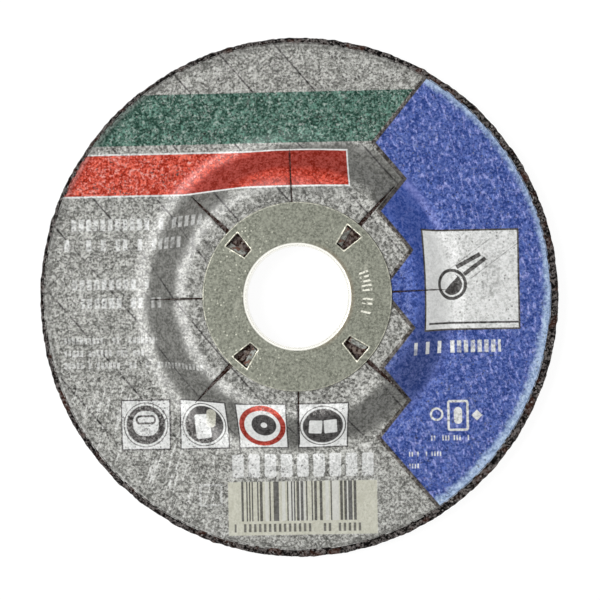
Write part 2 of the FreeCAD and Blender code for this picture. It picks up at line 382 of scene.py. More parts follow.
class Wiring:
    """Adds nodes to one shader tree and joins them."""

    def __init__(self, tree: bpy.types.NodeTree) -> None:
        """Works on the given tree."""
        self.tree = tree

    def node(self, kind: str, **settings: object) -> bpy.types.Node:
        """A new node of a kind, such as Math, with its settings.

        Args:
            kind: The node's type, without its prefix.
            **settings: The node's own settings.

        Returns:
            The node.
        """
        made = self.tree.nodes.new(f"ShaderNode{kind}")
        for name, value in settings.items():
            setattr(made, name, value)
        return made

    def feed(self, socket: Socket, source: object) -> None:
        """Links a socket to another one, or sets its own value.

        Args:
            socket: The input.
            source: An output, a number or a colour.
        """
        if isinstance(source, Socket):
            self.tree.links.new(source, socket)
        elif isinstance(source, tuple) and len(source) == 3 and socket.type == "RGBA":
            socket.default_value = (*source, 1.0)
        else:
            socket.default_value = source

    def math(self, operation: str, *operands: object) -> Socket:
        """The result of a Math node.

        Args:
            operation: What the node does.
            *operands: Outputs or numbers.

        Returns:
            The node's output.
        """
        made = self.node("Math", operation=operation)
        for socket, operand in zip(made.inputs, operands):
            self.feed(socket, operand)
        return made.outputs[0]

    def vector(self, operation: str, *operands: object) -> Socket:
        """The result of a Vector Math node, a number for a length and a vector otherwise.

        Args:
            operation: What the node does.
            *operands: Outputs, vectors or numbers.

        Returns:
            The node's output.
        """
        made = self.node("VectorMath", operation=operation)
        for socket, operand in zip(made.inputs, operands):
            self.feed(socket, operand)
        return made.outputs["Value" if operation in ("LENGTH", "DOT_PRODUCT") else "Vector"]

    def times(self, first: object, *others: object) -> Socket:
        """The product of two numbers or more.

        Args:
            first: An output or a number.
            *others: The others.

        Returns:
            The product.
        """
        for other in others:
            first = self.math("MULTIPLY", first, other)
        return first

    def parts(self, vector: Socket) -> tuple[Socket, Socket, Socket]:
        """A vector's three parts.

        Args:
            vector: The vector.

        Returns:
            Its X, Y and Z.
        """
        made = self.node("SeparateXYZ")
        self.feed(made.inputs[0], vector)
        return tuple(made.outputs)

    def joined(self, across: object, up: object) -> Socket:
        """A level vector of two parts.

        Args:
            across: Its X.
            up: Its Y.

        Returns:
            The vector.
        """
        made = self.node("CombineXYZ")
        for socket, part in zip(made.inputs, (across, up)):
            self.feed(socket, part)
        return made.outputs[0]

    def ramp(
        self, value: Socket, low: object, high: object, start: float = 0.0, end: float = 1.0
    ) -> Socket:
        """A smooth step of a value, from start at low to end at high.

        Args:
            value: The value.
            low: Where the step begins.
            high: Where it ends, which may be lower.
            start: The result at low.
            end: The result at high.

        Returns:
            The step's result.
        """
        made = self.node("MapRange", interpolation_type="SMOOTHSTEP")
        for socket, part in zip(made.inputs, (value, low, high, start, end)):
            self.feed(socket, part)
        return made.outputs[0]

    def blend(self, share: object, under: object, over: object) -> Socket:
        """Two colours mixed by a share.

        Args:
            share: How much of the second colour shows.
            under: The first colour.
            over: The second colour.

        Returns:
            The mixed colour.
        """
        made = self.node("Mix", data_type="RGBA")
        colours = [socket for socket in made.inputs if socket.type == "RGBA"]
        self.feed(made.inputs[0], share)
        self.feed(colours[0], under)
        self.feed(colours[1], over)
        return next(socket for socket in made.outputs if socket.type == "RGBA")

    def noise(
        self, place: Socket, scale: object, detail: float = 2.0, roughness: float = 0.5
    ) -> Socket:
        """Soft noise round 0.5 at a place in millimetres, with scale features a millimetre.

        Args:
            place: The place.
            scale: Features a millimetre.
            detail: How many finer layers are added.
            roughness: How strong the finer layers are.

        Returns:
            The noise.
        """
        made = self.node("TexNoise")
        parts = {"Vector": place, "Scale": scale, "Detail": detail, "Roughness": roughness}
        for name, part in parts.items():
            self.feed(made.inputs[name], part)
        return made.outputs[0]

    def cells(self, place: Socket, scale: object) -> tuple[Socket, tuple[Socket, Socket, Socket]]:
        """A cell pattern at a place in millimetres, with scale cells a millimetre.

        Args:
            place: The place.
            scale: Cells a millimetre.

        Returns:
            How far the nearest cell's point is, and three random numbers that belong to the cell.
        """
        made = self.node("TexVoronoi")
        self.feed(made.inputs["Vector"], place)
        self.feed(made.inputs["Scale"], scale)
        drawn = self.node("SeparateColor")
        self.feed(drawn.inputs[0], made.outputs["Color"])
        return made.outputs["Distance"], tuple(drawn.outputs)

    def place(self) -> Socket:
        """The shaded point in the piece's own frame, in millimetres."""
        scale = 1.0 / MM
        return self.vector("MULTIPLY", self.node("TexCoord").outputs["Object"], (scale, scale, scale))

    def turned(self, vector: Socket, angle: Socket) -> Socket:
        """A vector turned about the axis by an angle in radians.

        Args:
            vector: The vector.
            angle: The angle.

        Returns:
            The turned vector.
        """
        made = self.node("VectorRotate", rotation_type="Z_AXIS")
        self.feed(made.inputs["Vector"], vector)
        self.feed(made.inputs["Angle"], angle)
        return made.outputs[0]

    def relief(self) -> Socket:
        """The relief kept on the mesh, 0 in a pit to 1 on a grain's tip."""
        return self.node("Attribute", attribute_name="relief").outputs["Fac"]

    def bump(self, height: Socket, distance: float) -> Socket:
        """A normal roughened by a height, whose full range stands for a distance in millimetres.

        Args:
            height: The height, 0 to 1.
            distance: What a height of 1 stands for.

        Returns:
            The normal.
        """
        made = self.node("Bump")
        self.feed(made.inputs["Distance"], distance * MM)
        self.feed(made.inputs["Height"], height)
        return made.outputs[0]


def cleared(owner: bpy.types.Material | bpy.types.World) -> Wiring:
    """Empties the shader tree of a material or world.

    Args:
        owner: The material or world.

    Returns:
        The wiring of its tree.
    """
    owner.use_nodes = True
    owner.node_tree.nodes.clear()
    return Wiring(owner.node_tree)


class Effect:
    """A shader node group, made once and placed wherever a finish needs it."""

    TAKES: ClassVar[dict[str, tuple[str, object]]] = {}
    GIVES: ClassVar[dict[str, str]] = {}
    _made: ClassVar[dict[str, bpy.types.NodeTree]] = {}

    @classmethod
    def wire(cls, wiring: Wiring, takes: dict[str, Socket]) -> dict[str, Socket]:
        """The group's own nodes.

        Args:
            wiring: The group's tree.
            takes: The group's inputs by name.

        Returns:
            What each output gives, by name.
        """
        raise NotImplementedError

    @classmethod
    def put(cls, wiring: Wiring, **values: object) -> dict[str, Socket]:
        """Places the group in a tree.

        Args:
            wiring: The tree that the group goes into.
            **values: The inputs by name, as sockets or plain values.

        Returns:
            The outputs by name.
        """
        if cls.__name__ not in cls._made:
            tree = bpy.data.node_groups.new(cls.__name__, "ShaderNodeTree")
            for name, (kind, default) in cls.TAKES.items():
                taken = tree.interface.new_socket(name, in_out="INPUT", socket_type=f"NodeSocket{kind}")
                taken.default_value = default
            for name, kind in cls.GIVES.items():
                tree.interface.new_socket(name, in_out="OUTPUT", socket_type=f"NodeSocket{kind}")
            entry = tree.nodes.new("NodeGroupInput")
            leave = tree.nodes.new("NodeGroupOutput")
            takes = {name: entry.outputs[name] for name in cls.TAKES}
            for name, source in cls.wire(Wiring(tree), takes).items():
                tree.links.new(source, leave.inputs[name])
            cls._made[cls.__name__] = tree
        group = wiring.node("Group", node_tree=cls._made[cls.__name__])
        for name, value in values.items():
            wiring.feed(group.inputs[name], value)
        return {name: group.outputs[name] for name in cls.GIVES}


class FlatPaper(Effect):
    """Where a point of the draped label lies on the flat sheet that was printed."""

    TAKES = {
        "Place": ("Vector", (0.0, 0.0, 0.0)),
        "Foot": ("Float", 33.9),
        "Run": ("Float", 7.15),
        "Slack": ("Float", 0.19),
        "Turn": ("Float", 0.0),
    }
    GIVES = {"Flat": "Vector", "Radius": "Float"}

    @classmethod
    def wire(cls, wiring: Wiring, takes: dict[str, Socket]) -> dict[str, Socket]:
        """Moves the print in over the slope, where the sheet is longer than its plan.

        Args:
            wiring: The group's tree.
            takes: The group's inputs by name.

        Returns:
            What each output gives, by name.
        """
        across, up, _ = wiring.parts(takes["Place"])
        level = wiring.joined(across, up)
        radius = wiring.vector("LENGTH", level)
        inside = wiring.math("SUBTRACT", takes["Foot"], radius)
        inside = wiring.math("MINIMUM", wiring.math("MAXIMUM", inside, 0.0), takes["Run"])
        shift = wiring.times(inside, takes["Slack"])
        share = wiring.math("DIVIDE", wiring.math("SUBTRACT", radius, shift), radius)
        drawn_in = wiring.vector("MULTIPLY", level, wiring.joined(share, share))
        return {"Flat": wiring.turned(drawn_in, takes["Turn"]), "Radius": radius}


class PrintedBox(Effect):
    """A rectangle on the flat sheet, filled or as a line."""

    TAKES = {
        "Flat": ("Vector", (0.0, 0.0, 0.0)),
        "Centre": ("Vector", (0.0, 0.0, 0.0)),
        "Half": ("Vector", (1.0, 1.0, 0.0)),
        "Turn": ("Float", 0.0),
        "Corner": ("Float", 0.0),
        "Line": ("Float", 0.3),
        "Soft": ("Float", 0.08),
    }
    GIVES = {"Fill": "Float", "Outline": "Float"}

    @classmethod
    def wire(cls, wiring: Wiring, takes: dict[str, Socket]) -> dict[str, Socket]:
        """Draws both from the distance to the rectangle's edge, which is negative inside.

        Args:
            wiring: The group's tree.
            takes: The group's inputs by name.

        Returns:
            What each output gives, by name.
        """
        moved = wiring.vector("SUBTRACT", takes["Flat"], takes["Centre"])
        turned = wiring.turned(moved, wiring.times(takes["Turn"], -1.0))
        half_across, half_up, _ = wiring.parts(takes["Half"])
        across, up, _ = wiring.parts(wiring.vector("ABSOLUTE", turned))
        straight_across = wiring.math("SUBTRACT", half_across, takes["Corner"])
        straight_up = wiring.math("SUBTRACT", half_up, takes["Corner"])
        over_across = wiring.math("SUBTRACT", across, straight_across)
        over_up = wiring.math("SUBTRACT", up, straight_up)
        past_across = wiring.math("MAXIMUM", over_across, 0.0)
        past_up = wiring.math("MAXIMUM", over_up, 0.0)
        outside = wiring.vector("LENGTH", wiring.joined(past_across, past_up))
        inside = wiring.math("MINIMUM", wiring.math("MAXIMUM", over_across, over_up), 0.0)
        distance = wiring.math("SUBTRACT", wiring.math("ADD", outside, inside), takes["Corner"])
        return shape_masks(wiring, distance, takes)


class PrintedRound(Effect):
    """A round spot on the flat sheet, filled or as a ring."""

    TAKES = {
        "Flat": ("Vector", (0.0, 0.0, 0.0)),
        "Centre": ("Vector", (0.0, 0.0, 0.0)),
        "Radius": ("Float", 1.0),
        "Line": ("Float", 0.3),
        "Soft": ("Float", 0.08),
    }
    GIVES = {"Fill": "Float", "Outline": "Float"}

    @classmethod
    def wire(cls, wiring: Wiring, takes: dict[str, Socket]) -> dict[str, Socket]:
        """Draws both from the distance to the circle."""
        away = wiring.vector("LENGTH", wiring.vector("SUBTRACT", takes["Flat"], takes["Centre"]))
        return shape_masks(wiring, wiring.math("SUBTRACT", away, takes["Radius"]), takes)


def shape_masks(wiring: Wiring, distance: Socket, takes: dict[str, Socket]) -> dict[str, Socket]:
    """Soft-edged masks of a shape and of the line along its edge.

    Args:
        wiring: The tree.
        distance: The distance to the shape's edge, negative inside.
        takes: The group's inputs, with Line and Soft.

    Returns:
        The masks Fill and Outline.
    """
    low = wiring.times(takes["Soft"], -1.0)
    half_line = wiring.times(takes["Line"], 0.5)
    beside = wiring.math("SUBTRACT", wiring.math("ABSOLUTE", distance), half_line)
    masks = {}
    for name, value in (("Fill", distance), ("Outline", beside)):
        masks[name] = wiring.ramp(value, low, takes["Soft"], 1.0, 0.0)
    return masks


class PrintedMarks(Effect):
    """Short upright marks at random along a row."""

    EDGE: ClassVar[float] = 0.06

    TAKES = {
        "Flat": ("Vector", (0.0, 0.0, 0.0)),
        "Pitch": ("Float", 1.0),
        "Width": ("Float", 0.7),
        "Skipped": ("Float", 0.2),
        "Seed": ("Float", 0.0),
    }
    GIVES = {"Fill": "Float"}

    @classmethod
    def wire(cls, wiring: Wiring, takes: dict[str, Socket]) -> dict[str, Socket]:
        """Puts a mark in each step of the pitch that isn't skipped.

        Args:
            wiring: The group's tree.
            takes: The group's inputs by name.

        Returns:
            What each output gives, by name.
        """
        across, _, _ = wiring.parts(takes["Flat"])
        steps = wiring.math("DIVIDE", across, takes["Pitch"])
        index = wiring.math("FLOOR", steps)
        drawn = wiring.node("TexWhiteNoise", noise_dimensions="1D")
        wiring.feed(drawn.inputs["W"], wiring.math("ADD", index, takes["Seed"]))
        there = wiring.math("GREATER_THAN", drawn.outputs["Value"], takes["Skipped"])
        along = wiring.math("SUBTRACT", steps, index)
        off_middle = wiring.math("ABSOLUTE", wiring.math("SUBTRACT", along, 0.5))
        outside = wiring.math("SUBTRACT", off_middle, wiring.times(takes["Width"], 0.5))
        mark = wiring.ramp(outside, -cls.EDGE, cls.EDGE, 1.0, 0.0)
        return {"Fill": wiring.times(mark, there)}


class ToothedField(Effect):
    """The coloured field whose edge runs in teeth, all of one size, and straight past the last."""

    SQUARE_ON: ClassVar[float] = 0.77
    SOFT: ClassVar[float] = 0.08
    BORDER_SOFT: ClassVar[float] = 0.12

    TAKES = {
        "Flat": ("Vector", (0.0, 0.0, 0.0)),
        "Tip": ("Vector", (17.2, 1.2, 0.0)),
        "Pitch": ("Float", 16.25),
        "Teeth": ("Float", 2.0),
        "Slope": ("Float", 0.83),
        "Border": ("Float", 0.9),
    }
    GIVES = {"Fill": "Float", "Edge": "Float"}

    @classmethod
    def wire(cls, wiring: Wiring, takes: dict[str, Socket]) -> dict[str, Socket]:
        """Sets the edge back by the slope times the distance to the nearest tip.

        Args:
            wiring: The group's tree.
            takes: The group's inputs by name.

        Returns:
            What each output gives, by name.
        """
        across, up, _ = wiring.parts(wiring.vector("SUBTRACT", takes["Flat"], takes["Tip"]))
        tooth = wiring.math("ROUND", wiring.math("DIVIDE", up, takes["Pitch"]))
        tooth = wiring.math("MINIMUM", tooth, takes["Teeth"])
        tooth = wiring.math("MAXIMUM", tooth, wiring.times(takes["Teeth"], -1.0))
        tip = wiring.times(tooth, takes["Pitch"])
        beside = wiring.math("ABSOLUTE", wiring.math("SUBTRACT", up, tip))
        inside = wiring.math("SUBTRACT", across, wiring.times(beside, takes["Slope"]))
        inside = wiring.times(inside, cls.SQUARE_ON)
        half_border = wiring.times(takes["Border"], 0.5)
        past_border = wiring.math("SUBTRACT", wiring.math("ABSOLUTE", inside), half_border)
        return {
            "Fill": wiring.ramp(inside, -cls.SOFT, cls.SOFT),
            "Edge": wiring.ramp(past_border, -cls.BORDER_SOFT, cls.BORDER_SOFT, 1.0, 0.0),
        }


class CoarseGrit(Effect):
    """Grit that shows through a surface, in a pattern of soft noise and of cells.

    Height is for bump, Tone runs from pit to tip, and Specks and Glints mark single grains.
    """

    TAKES = {
        "Place": ("Vector", (0.0, 0.0, 0.0)),
        "Relief": ("Float", 0.5),
        "Scale": ("Float", 1.85),
    }
    GIVES = {"Height": "Float", "Tone": "Float", "Specks": "Float", "Glints": "Float"}

    GRAINS: ClassVar[float] = 1.3
    PATCHES: ClassVar[float] = 0.34
    RARE: ClassVar[float] = 0.8
    GRAIN_HEIGHT: ClassVar[float] = 0.4
    RELIEF_HEIGHT: ClassVar[float] = 0.4

    @classmethod
    def wire(cls, wiring: Wiring, takes: dict[str, Socket]) -> dict[str, Socket]:
        """Adds up soft noise for the grains' mass, cells for single grains and the mesh's relief.

        Args:
            wiring: The group's tree.
            takes: The group's inputs by name.

        Returns:
            What each output gives, by name.
        """
        place, scale = takes["Place"], takes["Scale"]
        mass = wiring.noise(place, scale, 4.0, 0.74)
        _, grain = wiring.cells(place, wiring.times(scale, cls.GRAINS))
        height = wiring.math("MULTIPLY_ADD", mass, 2.4, -0.95)
        height = wiring.math("MULTIPLY_ADD", grain[0], cls.GRAIN_HEIGHT, height)
        height = wiring.math("MULTIPLY_ADD", takes["Relief"], cls.RELIEF_HEIGHT, height)
        patches = wiring.noise(place, wiring.times(scale, cls.PATCHES))
        height = wiring.math("ADD", height, wiring.math("MULTIPLY_ADD", patches, 0.7, -0.35))
        distance, drawn = wiring.cells(place, wiring.times(scale, cls.RARE))
        near = wiring.ramp(distance, 0.38, 0.2)
        return {
            "Height": height,
            "Tone": wiring.ramp(height, 0.0, 1.3),
            "Specks": wiring.times(near, wiring.ramp(drawn[1], 0.84, 0.9)),
            "Glints": wiring.times(near, wiring.ramp(drawn[2], 0.86, 0.92)),
        }


class InkPaling(Effect):
    """A colour made paler as wear thins the ink, or deeper where it is less than one; it also paints
    sheen on the label's flats and shade on its slope.
    """

    TAKES = {"Colour": ("Color", (0.5, 0.5, 0.5, 1.0)), "Times": ("Float", 1.0)}
    GIVES = {"Colour": "Color"}

    @classmethod
    def wire(cls, wiring: Wiring, takes: dict[str, Socket]) -> dict[str, Socket]:
        """Raises what the ink takes from white to a power, so that no hue clips.

        Args:
            wiring: The group's tree.
            takes: The group's inputs by name.

        Returns:
            What each output gives, by name.
        """
        taken = wiring.node("Invert")
        wiring.feed(taken.inputs["Color"], takes["Colour"])
        less = wiring.node("Gamma")
        wiring.feed(less.inputs["Color"], taken.outputs[0])
        wiring.feed(less.inputs["Gamma"], takes["Times"])
        left = wiring.node("Invert")
        wiring.feed(left.inputs["Color"], less.outputs[0])
        return {"Colour": left.outputs[0]}


class Streaks(Effect):
    """Long soft streaks across a surface, as rubbing and creasing leave them."""

    TAKES = {
        "Place": ("Vector", (0.0, 0.0, 0.0)),
        "Turn": ("Float", 0.0),
        "Across": ("Float", 0.9),
        "Along": ("Float", 0.12),
        "Low": ("Float", 0.52),
        "High": ("Float", 0.72),
    }
    GIVES = {"Mask": "Float"}

    @classmethod
    def wire(cls, wiring: Wiring, takes: dict[str, Socket]) -> dict[str, Socket]:
        """Draws noise out along one direction.

        Args:
            wiring: The group's tree.
            takes: The group's inputs by name.

        Returns:
            What each output gives, by name.
        """
        turned = wiring.turned(takes["Place"], takes["Turn"])
        stretch = wiring.joined(takes["Across"], takes["Along"])
        noise = wiring.noise(wiring.vector("MULTIPLY", turned, stretch), 1.0, 3.0, 0.55)
        return {"Mask": wiring.ramp(noise, takes["Low"], takes["High"])}


class WindowLipHighlights(Effect):
    """A painted highlight round each of four tapering windows in a flange."""

    STEP: ClassVar[float] = math.pi / 2.0

    TAKES = {
        "Place": ("Vector", (0.0, 0.0, 0.0)),
        "Near": ("Float", 14.4),
        "Far": ("Float", 19.1),
        "First": ("Float", 0.855),
        "Inner": ("Float", 1.1),
        "Outer": ("Float", 2.0),
        "Width": ("Float", 0.34),
    }
    GIVES = {"LipHighlight": "Float"}

    @classmethod
    def wire(cls, wiring: Wiring, takes: dict[str, Socket]) -> dict[str, Socket]:
        """Turns the nearest window onto the X axis and measures how far outside it a point lies.

        Args:
            wiring: The group's tree.
            takes: The group's inputs by name.

        Returns:
            What each output gives, by name.
        """
        across, up, _ = wiring.parts(takes["Place"])
        angle = wiring.math("SUBTRACT", wiring.math("ARCTAN2", up, across), takes["First"])
        steps = wiring.math("ROUND", wiring.math("DIVIDE", angle, cls.STEP))
        angle = wiring.math("SUBTRACT", angle, wiring.times(steps, cls.STEP))
        radius = wiring.vector("LENGTH", wiring.joined(across, up))
        along = wiring.times(radius, wiring.math("COSINE", angle))
        beside = wiring.math("ABSOLUTE", wiring.times(radius, wiring.math("SINE", angle)))
        length = wiring.math("SUBTRACT", takes["Far"], takes["Near"])
        share = wiring.math("DIVIDE", wiring.math("SUBTRACT", along, takes["Near"]), length)
        widening = wiring.math("SUBTRACT", takes["Outer"], takes["Inner"])
        half = wiring.math("MULTIPLY_ADD", widening, share, takes["Inner"])
        past_side = wiring.math("SUBTRACT", beside, half)
        past_near = wiring.math("SUBTRACT", takes["Near"], along)
        past_far = wiring.math("SUBTRACT", along, takes["Far"])
        outside = wiring.math("MAXIMUM", wiring.math("MAXIMUM", past_side, past_near), past_far)
        return {"LipHighlight": wiring.ramp(outside, takes["Width"], wiring.times(takes["Width"], 0.5))}


class RepeatedAlong(Effect):
    """The flat sheet seen from the nearest of a row of evenly spaced places."""

    TAKES = {
        "Flat": ("Vector", (0.0, 0.0, 0.0)),
        "First": ("Vector", (0.0, 0.0, 0.0)),
        "Pitch": ("Float", 1.0),
        "Last": ("Float", 3.0),
    }
    GIVES = {"Local": "Vector"}

    @classmethod
    def wire(cls, wiring: Wiring, takes: dict[str, Socket]) -> dict[str, Socket]:
        """Takes off whole steps of the pitch, from the first place to the last.

        Args:
            wiring: The group's tree.
            takes: The group's inputs by name.

        Returns:
            What each output gives, by name.
        """
        across, up, _ = wiring.parts(wiring.vector("SUBTRACT", takes["Flat"], takes["First"]))
        step = wiring.math("ROUND", wiring.math("DIVIDE", across, takes["Pitch"]))
        step = wiring.math("MINIMUM", wiring.math("MAXIMUM", step, 0.0), takes["Last"])
        moved = wiring.math("SUBTRACT", across, wiring.times(step, takes["Pitch"]))
        return {"Local": wiring.joined(moved, up)}


@dataclass(frozen=True)
class Finish:
    """A procedural material."""

    name: str

    def begin(self) -> tuple[bpy.types.Material, Wiring, bpy.types.Node]:
        """An empty material with its shader.

        Returns:
            The material, the wiring of its tree and its shader.
        """
        made = bpy.data.materials.new(self.name)
        wiring = cleared(made)
        shader = wiring.node("BsdfPrincipled")
        wiring.feed(wiring.node("OutputMaterial").inputs["Surface"], shader.outputs[0])
        return made, wiring, shader


class Ink(Enum):
    """The label's printed colours, with some that also serve as painted shade and painted highlights.
    """

    GREY = linear(97, 97, 93)
    HAIRLINE = linear(40, 38, 37)
    GREEN = linear(22, 52, 42)
    RED = linear(138, 30, 9)
    BLUE = linear(38, 62, 132)
    BORDER = linear(40, 35, 31)
    WHITE = linear(220, 221, 219)
    CREAM = linear(213, 212, 195)
    BLACK = linear(46, 44, 43)
    WORN_BLUE = linear(164, 188, 222)
    # Lavender for the worn streaks in the blue and for the painted highlight along the foot.
    LAVENDER_WEAR_AND_SHEEN = linear(128, 134, 200)
    # Painted shade: a darker blue for the lower slope, which faces away from the lamp.
    SHADED_BLUE = linear(34, 53, 110)
    # Pale for the rubbed streaks and for the painted highlight along the label's edge.
    PALE = linear(176, 176, 172)


class Grit(Enum):
    """Colours of the grain and resin, bare or under the ink; the hollow and tip colours also paint the
    relief's shade and light.
    """

    SHADED_HOLLOW = linear(4, 3, 3)
    TIP = linear(122, 115, 112)
    RUST = linear(92, 58, 46)
    FACET = linear(156, 142, 132)
    BRIGHT_SPECK = linear(176, 172, 168)
    DARK_SPECK = linear(34, 30, 28)
    CLUMP = linear(40, 36, 34)
    FLECK = linear(236, 236, 232)
    GLINT = linear(226, 226, 222)


class Sheet(Enum):
    """Colours of the ring's steel, with painted highlight and glint colours among them."""

    SHADE = linear(64, 66, 55)
    PLAIN = linear(134, 136, 123)
    # Painted glint colour.
    PAINTED_GLINT = linear(206, 206, 190)
    RUBBED = linear(178, 178, 164)
    # Painted highlight colour of the punched marks.
    PUNCHED_HIGHLIGHT = linear(222, 221, 208)
    # Brownish tint for the flange beside the bore.
    BORE_TINT = linear(112, 96, 74)
    TAB_SHADE = linear(112, 114, 106)
    # Painted light: the tabs' pale steel.
    TAB_PAINTED_LIGHT = linear(206, 210, 204)
    TAB_RUST = linear(132, 80, 60)
    # Painted highlight colours for the lips and edges and for the rolled bore edge.
    LIP_HIGHLIGHT = linear(198, 195, 180)
    ROLL = linear(252, 251, 244)


@dataclass(frozen=True)
class PrintedArea:
    """A rectangle of the flat sheet, and the ink that is printed in it."""

    left: float
    right: float
    bottom: float
    top: float
    ink: Ink

    @property
    def centre(self) -> tuple[float, float, float]:
        """The rectangle's middle."""
        return ((self.left + self.right) / 2.0, (self.bottom + self.top) / 2.0, 0.0)

    @property
    def half(self) -> tuple[float, float, float]:
        """Half the rectangle's width and height."""
        return ((self.right - self.left) / 2.0, (self.top - self.bottom) / 2.0, 0.0)


@dataclass(frozen=True)
class Box(PrintedArea):
    """A printed rectangle, filled, or drawn as a line of the given width."""

    line: float = 0.0
    turn: float = 0.0
    corner: float = 0.0
    share: float = 1.0

    def lay(self, wiring: Wiring, flat: Socket, under: object) -> Socket:
        """Prints it over a colour.

        Args:
            wiring: The tree that takes the nodes.
            flat: The point on the sheet laid flat, in millimetres.
            under: The colour that it is printed on.

        Returns:
            The printed colour.
        """
        masks = PrintedBox.put(
            wiring,
            Flat=flat,
            Centre=self.centre,
            Half=self.half,
            Turn=math.radians(self.turn),
            Corner=self.corner,
            Line=self.line,
        )
        mask = masks["Outline" if self.line else "Fill"]
        if self.share < 1.0:
            mask = wiring.times(mask, self.share)
        return wiring.blend(mask, under, self.ink.value)


@dataclass(frozen=True)
class Spot:
    """A printed round spot, filled, or drawn as a ring with a line of the given width."""

    across: float
    up: float
    radius: float
    ink: Ink
    line: float = 0.0

    def lay(self, wiring: Wiring, flat: Socket, under: object) -> Socket:
        """Prints it over a colour.

        Args:
            wiring: The tree that takes the nodes.
            flat: The point on the sheet laid flat, in millimetres.
            under: The colour that it is printed on.

        Returns:
            The printed colour.
        """
        masks = PrintedRound.put(
            wiring,
            Flat=flat,
            Centre=(self.across, self.up, 0.0),
            Radius=self.radius,
            Line=self.line,
        )
        return wiring.blend(masks["Outline" if self.line else "Fill"], under, self.ink.value)


@dataclass(frozen=True)
class Marks(PrintedArea):
    """A row of plain upright marks on the flat sheet, worn away in places or whole."""

    pitch: float
    width: float = 0.7
    skipped: float = 0.2
    share: float = 1.0
    worn: bool = True

    def lay(self, wiring: Wiring, flat: Socket, under: object) -> Socket:
        """Prints it over a colour.

        Args:
            wiring: The tree that takes the nodes.
            flat: The point on the sheet laid flat, in millimetres.
            under: The colour that it is printed on.

        Returns:
            The printed colour.
        """
        area = PrintedBox.put(wiring, Flat=flat, Centre=self.centre, Half=self.half)["Fill"]
        marks = PrintedMarks.put(
            wiring,
            Flat=flat,
            Pitch=self.pitch,
            Width=self.width,
            Skipped=self.skipped,
            Seed=self.bottom,
        )["Fill"]
        mask = wiring.times(area, marks, self.share)
        if self.worn:
            kept = wiring.ramp(wiring.noise(flat, 0.7, 1.0), 0.36, 0.54, 0.35, 1.0)
            mask = wiring.times(mask, kept)
        return wiring.blend(mask, under, self.ink.value)


